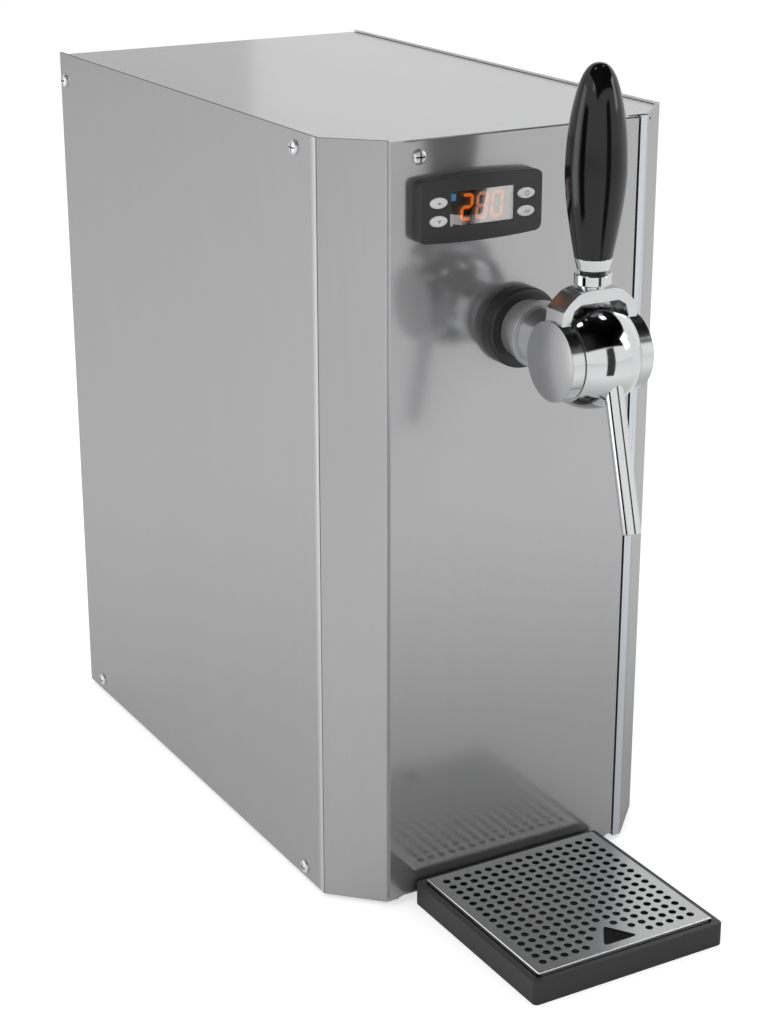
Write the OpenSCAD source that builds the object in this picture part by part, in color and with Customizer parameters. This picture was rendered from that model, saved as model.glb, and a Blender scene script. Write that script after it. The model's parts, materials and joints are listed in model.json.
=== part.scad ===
// Mulled wine dispenser: a sheet metal case that holds an instant heater and a pump, with a
// temperature controller, a lever tap on the front and a drip tray that slides out under the spout.
// The case is drawn with x across, y from the corner posts to the back and z from its lower edge.

/* [Case] */
// Width over the side covers
case_w = 216; // [210:1:240]
// Depth from the corner posts to the back panel
case_d = 371.5; // [365:0.5:420]
// Height from the lower edge to the top flanges
case_h = 436.5; // [430:0.5:480]
// Width and depth of the 45 degree front corners
corner = 26.4; // [22:0.2:27]
// Sheet thickness
sheet = 1.5; // [1.2:0.1:1.8]
// Height of the feet below the case
foot_h = 2.5; // [2:0.5:8]
// Half width of the front panel's folded upper and lower edges
panel_half = 73.5; // [72.5:0.5:74]
// How far the front panel stands proud of the corner posts
panel_proud = 3.3; // [2.8:0.1:4]
// Slot between the front panel and the right corner post
right_slot = 3.7; // [2:0.1:4]

/* [Controller] */
// Middle of the controller across the case
ctrl_x = -31.3; // [-33:0.1:-29]
// Height of the controller's middle
ctrl_z = 399.6; // [398:0.1:401]
// Width of the bezel
bezel_w = 74; // [73:0.5:78]
// Height of the bezel at its middle
bezel_h = 35.2; // [35:0.1:36]
// How far the bezel's upper and lower edges bow out at the middle
bezel_bow = 1.6; // [1:0.1:1.6]
// How far the bezel stands proud of the panel
bezel_t = 8; // [7.6:0.1:9]
// Width of the display window
window_w = 38.7; // [38:0.1:39]
// Height of the display window
window_h = 18.2; // [17:0.1:18.4]
// Travel of a button
button_travel = 0.5; // [0.3:0.1:0.6]

/* [Tap] */
// Middle of the tap and the drip tray across the case
front_x = -3.5; // [-5:0.1:-3]
// Height of the tap's axis
tap_z = 331.3; // [330:0.1:340]
// Distance of the ball's middle from the corner posts
ball_y = 71.9; // [70:0.1:78]
// Radius of the ball-shaped body
ball_r = 27.5; // [27.2:0.1:27.6]
// Radius of the yoke's round side caps
cap_r = 20.8; // [19:0.1:21]
// Angle by which the lever opens
lever_open = 65; // [50:1:70]
// Forward tilt of the spout from the vertical
spout_tilt = 15.4; // [13:0.1:16]
// Outer radius of the spout
spout_r = 5; // [4.6:0.1:5.2]
// Length of the spout along its axis, from the tap's axis
spout_reach = 87.1; // [80:0.1:95]
// Height of the handle's tip over the tap's axis
handle_tip = 148; // [146:0.5:156]

/* [Drip tray] */
// Width of the tray
tray_w = 124.6; // [124:0.1:130]
// Depth of the tray
tray_d = 124; // [123.6:0.1:126]
// Gap between the tray and the corner posts' plane
tray_gap = 4.8; // [4.4:0.1:6]
// Height of the tray's rim over the case's lower edge
rim_z = 11.4; // [11:0.1:13]
// Side of the square grid
grid_w = 114.5; // [114:0.1:115]
// Height of the grid over the rim
grid_rise = 2.5; // [2:0.1:3]
// Distance between the grid's holes
hole_pitch = 7; // [6.9:0.05:7.1]
// Radius of the grid's holes
hole_r = 2.2; // [1.8:0.1:2.4]

/* [Heater and pump] */
// Side of the square heater block
block_w = 110; // [100:1:112]
// Height of the heater block
block_h = 210; // [190:1:214]
// Height of the heater block's underside over the floor pan
standoff_h = 57; // [50:1:58]
// Inner radius of the hoses
hose_in = 5.3; // [5.3:0.05:5.6]
// Outer radius of the hoses
hose_out = 8; // [7.5:0.1:8.5]

/* [Hidden] */

half_w = case_w / 2;
inner_w = half_w - sheet;
tray_front = tray_gap + tray_d;
inlet_reach = 26;
// Case coordinates are moved back so that the whole object is centred over the origin
case_y = (tray_front - case_d - inlet_reach) / 2;
seam = 0.8;
post_flange_y = 60;
rail_y = 340;
top_z = case_h - sheet;
under_top = top_z - sheet;
floor_top = 2 * sheet;
panel_front = -panel_proud;
panel_back = panel_front + sheet;
panel_z0 = 4;
panel_z1 = case_h - 0.4;
panel_right = panel_half - 1;
wing_x = 81.3;
wing_drop = 0.9;
strip_x = panel_right + right_slot;
strip_drop = 1;
fold_gap = 1.2;
top_notch_x = 84;
top_notch_y = 7.5;
edge_gap = 0.5;
lip_h = 17;
rear_lip_z = 16.5;
rail_w = 8;
foot_flange = 10;
return_x = 81.6;
post_lip = 12;

screw_r = 1.9;
head_r = 4;
cross_w = 0.9;
cross_l = 5;
boss_r = 4.5;
thread_r = 2;
clear_r = 2.2;
side_screws = [[50, case_h - 8.7], [364, case_h - 16.9], [49.5, 6.7], [349.5, 8]];
front_screws_x = [-64.8, 57];
front_screw_z = case_h - 9.1;
back_screws = [[-90, case_h - 13], [0, case_h - 13], [90, case_h - 13], [-80, 12], [80, 12]];
feet_xy = [[-80, 45], [80, 45], [-80, 330], [80, 330]];

bezel_front = panel_front - bezel_t;
bezel_plate = 1.8;
bezel_r = 3;
pocket_w = 70.8;
pocket_h = 28.8;
housing_wall = 1.5;
housing_back = 54;
board_y = -4.6;
window_z = 0.5;
button_x = 26.6;
button_z = 4.72;
button_w = 10.2;
button_h = 5.6;
button_proud = 1.2;
button_gap = 0.3;
rim_depth = bezel_plate + 0.7;
switch_h = 1.3;
board_t = 1.6;
board_w = 66.8;
board_h = 25;
display_w = 37.6;
display_z0 = -9;
display_z1 = 10;
clip_h = 18;
clip_t = 1.6;

flat_x = 16.9;
neck_r = 16.3;
yoke_in = 17.2;
yoke_out = 24.75;
yoke_half = 7.5;
yoke_top = 36;
yoke_under = 29.3;
shaft_r = 9;
shaft_bore = 9.05;
port_r = 3.5;
outlet_r = 4;
seal_x = 13;
seal_section = 1.1;
seal_r = 10.2;
rosette_r = 22.1;
rosette_front = 12.2;
rosette_round = 2.8;
collar_r = 16;
collar_ring_r = 18.2;
collar_front = 28;
collar_ring_w = 4;
shank_r = 9;
shank_end = 45;
barb_r = 5;
barb_bore = 3.2;
barb_len = 24;
stud_r = 4;
stud_bore = 4.05;
nut_z = 37.4;
nut_r = 9.55;
ferrule_r = 9.85;
washer_r = 6.5;
stud_len = 42;
washer_z = 43.2;
ferrule_z = 45.1;
handle_z = 51.3;
spout_y = 18;
spout_start = 8;
spout_bore = 3.5;

tray_wall = 4.3;
tray_floor = 2;
ledge_z = rim_z + grid_rise - 8;
grid_z = rim_z + grid_rise;
grid_sheet = 1;
grid_y = -(tray_gap + tray_d / 2);
holes = 15;

block_x = 20;
block_y = 165;
block_z = floor_top + standoff_h;
block_top = block_z + block_h;
element_r = 7.95;
element_bore = 8;
elements_xy = [[45, 140], [45, 200]];
probe_xy = [10, 200];
cutout_xy = [62, 170];
outlet_y = 150;
feed_z = 170;
tube_len = 20;

pump_y = 280;
pump_z = 45;
motor_r = 27;
pump_x0 = 5;
pump_x1 = 58;
suction_x = 35;
suction_z = 30;
delivery_x = 30;
pump_base = 9;

plate_x = -90;
gland_x = -62;
gland_z = 45;
switch_x = -60;
switch_z = 105;
rocker_off = -7;

tap_hose_route = [[front_x, outlet_y, block_top + 4], [front_x, outlet_y, 293], [front_x, 148, 307],
    [front_x, 141, 320], [front_x, 129, 328], [front_x, 114, tap_z], [front_x, 96, tap_z],
    [front_x, 74, tap_z], [front_x, shank_end + 4, tap_z]];
pump_hose_route = [[delivery_x, pump_y, 80], [delivery_x, pump_y, 100], [delivery_x, 282, 122],
    [28, 285, 144], [25, 283, 161], [22, 271, feed_z], [20, 255, feed_z], [20, 226, feed_z]];
heater_wire_a = [[-76, 228, 281.5], [-76, 228, 298], [-66, 224, 312], [-40, 216, 318], [0, 208, 318],
    [30, 203, 314], [43, 200, 307], [45, 200, 296], [45, 200, 286]];
heater_wire_b = [[-76, 208, 281.5], [-76, 207, 295], [-66, 200, 307], [-40, 190, 311], [0, 180, 310],
    [28, 164, 309], [42, 145, 305], [45, 140, 296], [45, 140, 286]];
mains_wire = [[-60, 345.5, 110], [-61, 326, 112], [-66, 302, 117], [-72, 277, 124], [-76, 260, 129],
    [-77, 245.5, 130]];
pump_wire = [[-62.5, 280, 45], [-69, 280, 45], [-76, 277, 54], [-78, 268, 72], [-78, 254, 92],
    [-78, 241, 106], [-78, 235, 119.5]];
probe_wire = [[10, 200, block_top + 15.5], [9, 200, 300], [0, 202, 322], [-12, 205, 350],
    [-22, 190, 376], [-26, 150, 392], [-28, 100, 396], [-30, 70, 396], [-30, 54.5, 396]];
supply_wire = [[-38, 54.5, 403], [-38, 74, 403], [-42, 95, 396], [-50, 112, 376], [-60, 124, 348],
    [-69, 129, 326], [-70, 130, 309.5]];

// Moves case coordinates into the object's own frame
module placed() {
    translate([0, case_y, foot_h]) children();
}

// A box between two corners
module block(x0, x1, y0, y1, z0, z1) {
    translate([x0, y0, z0]) cube([x1 - x0, y1 - y0, z1 - z0]);
}

// A round bar along y between two depths
module rod_y(x, z, r, y0, y1) {
    translate([x, y1, z]) rotate([90, 0, 0]) cylinder(r = r, h = y1 - y0, $fn = 48);
}

// A round bar along x between two places
module rod_x(y, z, r, x0, x1) {
    translate([x0, y, z]) rotate([0, 90, 0]) cylinder(r = r, h = x1 - x0, $fn = 48);
}

// A round bar along z between two heights
module rod_z(x, y, r, z0, z1) {
    translate([x, y, z0]) cylinder(r = r, h = z1 - z0, $fn = 48);
}

// A shape turned round an axis that runs forwards, from points of radius and distance forwards
module front_turn(x, z, points) {
    translate([x, 0, z]) rotate([90, 0, 0]) rotate_extrude($fn = 72) polygon(points);
}

function arc(cx, cy, r, a0, a1, n) =
    [for (i = [0:n]) let (a = a0 + (a1 - a0) * i / n) [cx + r * cos(a), cy + r * sin(a)]];

function oval(w, h, n = 32) = [for (i = [0:n - 1]) [w / 2 * cos(360 * i / n), h / 2 * sin(360 * i / n)]];

function rounded(w, d, r, n = 6) = concat(
    arc(w / 2 - r, d / 2 - r, r, 0, 90, n), arc(r - w / 2, d / 2 - r, r, 90, 180, n),
    arc(r - w / 2, r - d / 2, r, 180, 270, n), arc(w / 2 - r, r - d / 2, r, 270, 360, n));

function unit(v) = v / norm(v);

// Rings of points round a route, square to it, turned by a reference direction
function ring(route, i, r, sides, ref) =
    let (ahead = route[min(i + 1, len(route) - 1)], behind = route[max(i - 1, 0)],
        along = unit(ahead - behind), side = unit(cross(along, ref)), up = cross(side, along))
    [for (k = [0:sides - 1]) let (a = 360 * k / sides) route[i] + r * (cos(a) * side + sin(a) * up)];

// A flexible tube along a route
module tube(route, r, sides, ref) {
    n = len(route);
    points = [for (i = [0:n - 1]) each ring(route, i, r, sides, ref)];
    walls = [for (i = [0:n - 2], k = [0:sides - 1]) let (a = i * sides + k, b = i * sides + (k + 1) % sides)
        each [[a, b, a + sides], [b, b + sides, a + sides]]];
    start = [for (k = [1:sides - 2]) [0, k + 1, k]];
    last = (n - 1) * sides;
    end = [for (k = [1:sides - 2]) [last, last + k, last + k + 1]];
    polyhedron(points, concat(walls, start, end));
}

// A hose with its bore
module hose(route, ref) {
    difference() {
        tube(route, hose_out, 12, ref);
        tube(concat([2 * route[0] - route[1]], route, [2 * route[len(route) - 1] - route[len(route) - 2]]),
            hose_in, 12, ref);
    }
}

// A pan head screw with a cross recess, its seat at the origin and its head along +z
module screw(length = 7) {
    difference() {
        union() {
            rotate_extrude($fn = 32)
                polygon([[0, 0], [head_r, 0], [head_r, 0.8], [3.7, 1.5], [3, 2], [2, 2.3], [0, 2.4]]);
            translate([0, 0, -length]) cylinder(r = screw_r, h = length + 0.1, $fn = 24);
        }
        for (a = [0, 90]) rotate([0, 0, a]) translate([-cross_l / 2, -cross_w / 2, 1])
            cube([cross_l, cross_w, 2]);
    }
}

// Repeats a shape at each screw of the side covers, its z axis pointing out of the case
module at_side_screws(sides = [-1, 1]) {
    for (s = sides, p = side_screws)
        translate([s * half_w, p[0], p[1]]) rotate([0, s * 90, 0]) children();
}

module at_front_screws() {
    for (x = front_screws_x)
        translate([x, panel_front, front_screw_z]) rotate([90, 0, 0]) children();
}

module at_back_screws() {
    for (p = back_screws) translate([p[0], case_d, p[1]]) rotate([-90, 0, 0]) children();
}

module hole(r) {
    translate([0, 0, -10]) cylinder(r = r, h = 20, $fn = 24);
}

// Where the inner face of a corner post's chamfer would meet the plane of the posts
corner_in = return_x - sheet * sqrt(2);

// The top cover's outline lies inside the posts and side covers, a small gap away from them
top_strip_y = sheet + edge_gap;
top_side_x = inner_w - edge_gap;
top_corner = corner_in - edge_gap * sqrt(2);
top_outline = concat(
    [[panel_right - sheet, 0], [panel_right - sheet, top_strip_y], [top_corner + top_strip_y, top_strip_y]],
    [[top_side_x, top_side_x - top_corner], [top_side_x, case_d], [-top_side_x, case_d]],
    [[-top_side_x, top_side_x - top_corner], [-top_corner - top_strip_y, top_strip_y]],
    [[edge_gap - panel_half, top_strip_y], [edge_gap - panel_half, 0]]);
floor_half = [[corner_in + sheet, sheet], [inner_w - sheet, inner_w - sheet - corner_in]];
floor_outline = concat(floor_half, [[inner_w - sheet, case_d - sheet], [sheet - inner_w, case_d - sheet]],
    [[-floor_half[1][0], floor_half[1][1]], [-floor_half[0][0], floor_half[0][1]]]);

module floor_pan() placed() color("silver") difference() {
    union() {
        translate([0, 0, sheet]) linear_extrude(sheet) polygon(floor_outline);
        block(sheet - panel_half, panel_right - sheet, 0, sheet, sheet, lip_h + floor_top);
        block(rail_w - inner_w, inner_w - rail_w, case_d - 2 * sheet, case_d - sheet, sheet, rear_lip_z);
    }
    for (x = [-panel_half - sheet, strip_x]) block(x - 0.1, x + sheet + 0.1, -1, post_lip + 0.1, 0, 5);
    at_back_screws() hole(thread_r);
    for (p = feet_xy) rod_z(p[0], p[1], 3, 0, 10);
}

module vent_slot(x, z) {
    block(x - 1.5, x + 1.5, case_d - 5, case_d + 5, z, z + 40);
}

module back_panel() placed() color("silver") difference() {
    block(-inner_w, inner_w, case_d - sheet, case_d, 0, under_top);
    at_back_screws() hole(clear_r);
    for (i = [-7:7]) vent_slot(i * 9, 340);
    for (i = [1:8]) vent_slot(i * 9, 100);
    rod_y(suction_x, suction_z, 10.1, case_d - 5, case_d + 5);
    rod_y(gland_x, gland_z, 10.1, case_d - 5, case_d + 5);
    block(switch_x - 9.6, switch_x + 9.6, case_d - 5, case_d + 5, switch_z - 13.6, switch_z + 13.6);
}

// A side cover, drawn on the +x side
module cover(s) difference() {
    mirror([s < 0 ? 1 : 0, 0, 0]) {
        block(inner_w, half_w, corner + seam, case_d, 0, case_h);
        block(half_w - foot_flange, inner_w, post_flange_y + 2, rail_y - 2, 0, sheet);
    }
    at_side_screws([s]) hole(clear_r);
}

module left_cover() placed() color("gainsboro") cover(-1);

module right_cover() placed() color("gainsboro") cover(1);

// The top cover, with an open corner behind the right post's front strip
module top_cover() placed() color("gainsboro") {
    difference() {
        translate([0, 0, under_top]) linear_extrude(sheet) polygon(top_outline);
        block(panel_right - sheet + 1, top_notch_x, -1, top_notch_y, under_top - 1, top_z + 1);
    }
    difference() {
        union() {
            block(sheet - panel_half, panel_right - sheet, 0, sheet, under_top - lip_h, under_top);
            block(rail_w - inner_w, inner_w - rail_w, case_d - 2 * sheet, case_d - sheet,
                under_top - lip_h, under_top);
            for (x = front_screws_x) rod_y(x, front_screw_z, boss_r, panel_back, 0.5);
        }
        at_front_screws() hole(thread_r);
        at_back_screws() hole(thread_r);
    }
}

// A corner post: front strip that starts at x, chamfer and the flange that carries the side cover
function post_outline(x) = [[x, 0], [return_x, 0], [half_w, corner], [inner_w, corner],
    [inner_w, post_flange_y], [inner_w - sheet, post_flange_y],
    [inner_w - sheet, inner_w - sheet - corner_in], [corner_in + sheet, sheet],
    [x + sheet, sheet], [x + sheet, post_lip], [x, post_lip]];

// The part of a post that rises round the top cover
function post_rim(x) = [[x, 0], [return_x, 0], [half_w, corner], [corner_in + corner, corner],
    [corner_in + sheet, sheet], [x, sheet]];

module post(s, x) difference() {
    mirror([s < 0 ? 1 : 0, 0, 0]) {
        linear_extrude(under_top) polygon(post_outline(x));
        linear_extrude(case_h) polygon(post_rim(x));
    }
    mirror([s < 0 ? 1 : 0, 0, 0]) block(x - 1, return_x - 1, -1, sheet, case_h - strip_drop, case_h + 1);
    at_side_screws([s]) hole(thread_r);
}

module left_post() placed() color("gainsboro") post(-1, panel_half);

module right_post() placed() color("gainsboro") post(1, strip_x);

// An angle behind the rear edge of a side cover
module rear_rail(s) difference() {
    mirror([s < 0 ? 1 : 0, 0, 0]) {
        block(inner_w - sheet, inner_w, rail_y, case_d - sheet, floor_top, under_top);
        block(inner_w - rail_w + 0.5, inner_w - sheet, case_d - 2 * sheet, case_d - sheet,
            floor_top, under_top);
    }
    at_side_screws([s]) hole(thread_r);
}

module left_rear_rail() placed() color("silver") rear_rail(-1);

module right_rear_rail() placed() color("silver") rear_rail(1);

// The front panel, folded at its upper, lower and right edges, with a wing over the left post's strip.
// The wing reaches a little lower than the folded edge beside it.
module front_panel() placed() color("gainsboro") difference() {
    union() {
        block(-panel_half, panel_right, panel_front, panel_back, panel_z0, panel_z1);
        block(panel_right - sheet, panel_right, panel_back, post_lip, panel_z0, under_top - 1);
        block(-panel_half, panel_right, panel_back, -fold_gap, panel_z1 - sheet, panel_z1);
        block(-panel_half, panel_right, panel_back, 0, panel_z0, panel_z0 + sheet);
        block(-wing_x, -panel_half, panel_front, panel_back, panel_z0 - wing_drop, panel_z1);
        block(-wing_x, sheet - wing_x, panel_back, 0, panel_z0 - wing_drop, panel_z1);
    }
    at_front_screws() hole(clear_r);
    block(ctrl_x - pocket_w / 2, ctrl_x + pocket_w / 2, -10, 10, ctrl_z - pocket_h / 2, ctrl_z + pocket_h / 2);
    rod_y(front_x, tap_z, shank_r + 0.3, -10, 10);
}

module rubber_feet() placed() color("black") for (p = feet_xy) {
    translate([p[0], p[1], -foot_h]) cylinder(r1 = 11.5, r2 = 12.5, h = foot_h + sheet, $fn = 48);
    rod_z(p[0], p[1], 2.9, sheet - 0.1, floor_top + 2);
}

module case_screws() placed() color("white") {
    at_side_screws() screw();
    at_front_screws() screw();
    at_back_screws() screw();
}

// The bezel's outline: a plate with bowed upper and lower edges and round corners
bow_r = (bezel_w * bezel_w / 4 + bezel_bow * bezel_bow) / (2 * bezel_bow);
bow_a = asin((bezel_w / 2 - bezel_r) / bow_r);
bezel_side = bezel_h / 2 - bezel_bow - bezel_r;
bezel_outline = concat(
    arc(0, bezel_h / 2 - bow_r, bow_r, 90 + bow_a, 90 - bow_a, 12),
    arc(bezel_w / 2 - bezel_r, bezel_side, bezel_r, 70, 0, 4),
    arc(bezel_w / 2 - bezel_r, -bezel_side, bezel_r, 0, -70, 4),
    arc(0, bow_r - bezel_h / 2, bow_r, bow_a - 90, -90 - bow_a, 12),
    arc(bezel_r - bezel_w / 2, -bezel_side, bezel_r, 250, 180, 4),
    arc(bezel_r - bezel_w / 2, bezel_side, bezel_r, 180, 110, 4));

// Draws in the plane of the controller's face, with depth running back from its front
module at_controller(depth) {
    translate([ctrl_x, bezel_front + depth, ctrl_z]) rotate([90, 0, 0]) children();
}

button_places = [[-button_x, button_z], [-button_x, -button_z], [button_x, button_z], [button_x, -button_z]];

module controller_bezel() placed() color("#333336") difference() {
    at_controller(bezel_t) linear_extrude(bezel_t) polygon(bezel_outline);
    block(ctrl_x - pocket_w / 2, ctrl_x + pocket_w / 2, bezel_front + bezel_plate, 0,
        ctrl_z - pocket_h / 2, ctrl_z + pocket_h / 2);
    at_controller(5) translate([0, window_z, 0]) linear_extrude(10) square([window_w, window_h], center = true);
    for (p = button_places) at_controller(5) translate([p[0], p[1], 0])
        linear_extrude(10) polygon(oval(button_w + 2 * button_gap, button_h + 2 * button_gap));
}

module controller_window() placed() color("#4a4a50") {
    at_controller(bezel_plate) translate([0, window_z, 0])
        linear_extrude(bezel_plate - 0.5) square([window_w - 0.2, window_h - 0.2], center = true);
    at_controller(bezel_plate + 0.8) translate([0, window_z, 0])
        linear_extrude(0.8) square([window_w + 1.2, window_h + 1.2], center = true);
}

module display_module() placed() color("white")
    block(ctrl_x - display_w / 2, ctrl_x + display_w / 2, bezel_front + bezel_plate + 0.9, board_y,
        ctrl_z + display_z0, ctrl_z + display_z1);

module control_board() placed() color("green") {
    block(ctrl_x - board_w / 2, ctrl_x + board_w / 2, board_y, board_y + board_t,
        ctrl_z - board_h / 2, ctrl_z + board_h / 2);
    for (p = button_places) block(ctrl_x + p[0] - 3, ctrl_x + p[0] + 3, board_y - switch_h, board_y,
        ctrl_z + p[1] - 3, ctrl_z + p[1] + 3);
    block(ctrl_x - 20, ctrl_x + 20, board_y + board_t, 40, ctrl_z - board_t / 2, ctrl_z + board_t / 2);
}

module controller_housing() placed() color("#29292b") difference() {
    block(ctrl_x - pocket_w / 2 + 0.1, ctrl_x + pocket_w / 2 - 0.1, bezel_front + bezel_plate, housing_back,
        ctrl_z - pocket_h / 2 + 0.1, ctrl_z + pocket_h / 2 - 0.1);
    block(ctrl_x - pocket_w / 2 + housing_wall, ctrl_x + pocket_w / 2 - housing_wall,
        bezel_front, housing_back - housing_wall,
        ctrl_z - pocket_h / 2 + housing_wall, ctrl_z + pocket_h / 2 - housing_wall);
}

// Spring clips that press the panel against the bezel from behind
module controller_clips() placed() color("orange") for (s = [0, 1])
    translate([ctrl_x, 0, 0]) mirror([s, 0, 0]) {
        block(pocket_w / 2 - 0.1, pocket_w / 2 + clip_t, panel_back, 30,
            ctrl_z - clip_h / 2, ctrl_z + clip_h / 2);
        block(pocket_w / 2 + clip_t, pocket_w / 2 + 4.5, panel_back, 0,
            ctrl_z - clip_h / 2, ctrl_z + clip_h / 2);
    }

// A button: oval cap, retaining rim and the stem that reaches its switch
module button(i) placed() color("white") translate([button_places[i][0], 0, button_places[i][1]]) {
    at_controller(rim_depth) linear_extrude(rim_depth + button_proud - 0.4) polygon(oval(button_w, button_h));
    at_controller(0) linear_extrude(button_proud) polygon(oval(button_w - 0.7, button_h - 0.7));
    at_controller(rim_depth) linear_extrude(0.65) polygon(oval(button_w + 1.2, button_h + 1.2));
    rod_y(ctrl_x, ctrl_z, 1.2, bezel_front + rim_depth - 0.1, board_y - switch_h - button_travel - 0.1);
}

module up_button() button(0);

module down_button() button(1);

module power_button() button(2);

module set_button() button(3);

module tap_rosette() placed() color("#222224") front_turn(front_x, tap_z, concat(
    [[shank_r + 0.2, panel_proud], [rosette_r, panel_proud], [rosette_r, rosette_front - rosette_round]],
    arc(rosette_r - rosette_round, rosette_front - rosette_round, rosette_round, 0, 90, 5),
    [[shank_r + 0.2, rosette_front]]));

module tap_collar() placed() color("silver") front_turn(front_x, tap_z,
    [[shank_r + 0.1, rosette_front], [collar_r - 0.4, rosette_front], [collar_r, rosette_front + 0.6],
    [collar_r, collar_front - collar_ring_w], [collar_ring_r - 0.4, collar_front - collar_ring_w],
    [collar_ring_r, collar_front - collar_ring_w + 0.4], [collar_ring_r, collar_front - 0.4],
    [collar_ring_r - 0.4, collar_front], [shank_r + 0.1, collar_front]]);

// Puts a shape at the ball's middle
module at_ball() {
    translate([front_x, -ball_y, tap_z]) children();
}

// Puts a shape on the spout's axis, which runs down -z from the tap's axis
module on_spout() {
    at_ball() translate([0, -spout_y, 0]) rotate([-spout_tilt, 0, 0]) children();
}

module tap_body() placed() color("silver") difference() {
    union() {
        rod_y(front_x, tap_z, neck_r, 18 - ball_y, -collar_front);
        at_ball() rotate([0, 90, 0]) sphere(r = ball_r, $fn = 96);
    }
    for (s = [0, 1]) at_ball() mirror([s, 0, 0])
        block(flat_x, 2 * ball_r, -1.5 * ball_r, 1.5 * ball_r, -1.5 * ball_r, 1.5 * ball_r);
    at_ball() rod_x(0, 0, shaft_bore, -30, 30);
    for (s = [-1, 1]) at_ball() rod_x(0, 0, seal_r + seal_section, s * seal_x - 1.2, s * seal_x + 1.2);
    rod_y(front_x, tap_z, barb_bore, -ball_y + 1, -20);
    rod_y(front_x, tap_z, outlet_r, -ball_y - spout_y - outlet_r, -ball_y - 1);
    on_spout() translate([0, 0, -40]) cylinder(r = spout_r + 0.05, h = 40 - spout_start, $fn = 48);
    on_spout() translate([0, 0, -spout_start - 1]) cylinder(r = port_r, h = spout_start + 1, $fn = 48);
}

module tap_shank() placed() color("silver") difference() {
    union() {
        rod_y(front_x, tap_z, shank_r, 0.5 - collar_front, shank_end);
        rod_y(front_x, tap_z, barb_r, shank_end - 1, shank_end + barb_len);
    }
    rod_y(front_x, tap_z, barb_bore, -30, shank_end + barb_len + 1);
}

module shank_nut() placed() color("gold") difference() {
    union() {
        rod_y(front_x, tap_z, 16, panel_back, panel_back + 2);
        translate([front_x, panel_back + 10, tap_z]) rotate([90, 0, 0]) cylinder(r = 15.6, h = 8, $fn = 6);
    }
    rod_y(front_x, tap_z, shank_r + 0.05, -10, 20);
}

module spout_tube() placed() color("silver") on_spout() difference() {
    translate([0, 0, -spout_reach]) cylinder(r = spout_r, h = spout_reach - spout_start, $fn = 48);
    translate([0, 0, -spout_reach - 1]) cylinder(r = spout_bore, h = spout_reach, $fn = 48);
}

module shaft_seals() placed() color("black") at_ball() for (s = [-1, 1])
    translate([s * seal_x, 0, 0]) rotate([0, 90, 0]) rotate_extrude($fn = 48)
        translate([seal_r, 0]) circle(r = seal_section, $fn = 24);

// The arched yoke and its round side caps, which turn with the lever
module tap_yoke() placed() color("silver") at_ball() {
    difference() {
        union() {
            for (s = [0, 1]) mirror([s, 0, 0]) rod_x(0, 0, cap_r, yoke_in, yoke_out);
            translate([0, yoke_half, 0]) rotate([90, 0, 0]) linear_extrude(2 * yoke_half)
                polygon(concat(yoke_side(1), yoke_side(-1)));
            translate([0, 0, yoke_top - 0.5]) cylinder(r = 7, h = nut_z - yoke_top + 0.5, $fn = 48);
        }
        rod_x(0, 0, shaft_r + 0.02, -22, 22);
        translate([0, 0, yoke_under - 1]) cylinder(r = stud_bore, h = 10, $fn = 32);
    }
}

yoke_edge = [[17.4, 16], [17.6, 20.5], [15.8, 26.6], [11.5, yoke_under]];
yoke_back = [[8, yoke_top], [13.5, 34.5], [19, 30.3], [22.2, 26.5], [22.9, 20], [22.9, 16]];

// One half of the arch, from its inner foot over to its outer foot and mirrored for the other side
function yoke_side(s) = s > 0
    ? concat([for (i = [3:-1:0]) yoke_edge[i]], [for (i = [5:-1:0]) yoke_back[i]])
    : concat([for (i = [0:5]) [-yoke_back[i][0], yoke_back[i][1]]],
        [for (i = [0:3]) [-yoke_edge[i][0], yoke_edge[i][1]]]);

module valve_shaft() placed() color("gold") at_ball() difference() {
    rod_x(0, 0, shaft_r, -22, 22);
    rotate([-lever_open, 0, 0]) rod_y(0, 0, port_r, -12, 12);
    rod_x(0, 0, 3, -23, -8);
    rod_x(0, 0, 3, 8, 23);
}

module handle_stud() placed() color("silver") at_ball() translate([0, 0, yoke_under + 0.5])
    cylinder(r = stud_r, h = stud_len, $fn = 32);

module handle_nut() placed() color("silver") at_ball() rotate_extrude($fn = 64)
    polygon([[stud_bore, nut_z], [nut_r - 0.45, nut_z], [nut_r, nut_z + 0.5], [nut_r, washer_z - 0.5],
        [nut_r - 0.45, washer_z], [stud_bore, washer_z]]);

module handle_washer() placed() color("black") at_ball() rotate_extrude($fn = 48)
    polygon([[stud_bore, washer_z], [washer_r, washer_z], [washer_r, ferrule_z], [stud_bore, ferrule_z]]);

module handle_ferrule() placed() color("silver") at_ball() rotate_extrude($fn = 64)
    polygon([[stud_bore, ferrule_z], [8.2, ferrule_z], [ferrule_r, handle_z], [stud_bore, handle_z]]);

// The handle's outline from its foot to its round tip
grip = handle_tip - 148;
handle_outline = [[0, 73], [stud_bore, 73], [stud_bore, handle_z], [ferrule_r, handle_z], [10.45, 54.7],
    [11.43, 59.8],
    [13.26, 70], [14.74, 80], [15.61, 90 + grip / 2], [15.75, 95 + grip / 2], [15.61, 100 + grip / 2],
    [15.09, 110 + grip / 2], [14.03, 119.8 + grip], [12.16, 129.6 + grip], [9.51, 139.3 + grip],
    [6.96, 144.1 + grip], [3.77, 147 + grip], [1.5, 148 + grip], [0, 148 + grip]];

module tap_handle() placed() color("#18181a") at_ball() rotate_extrude($fn = 64) polygon(handle_outline);

module at_tray(z) {
    translate([front_x, grid_y, z]) children();
}

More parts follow.
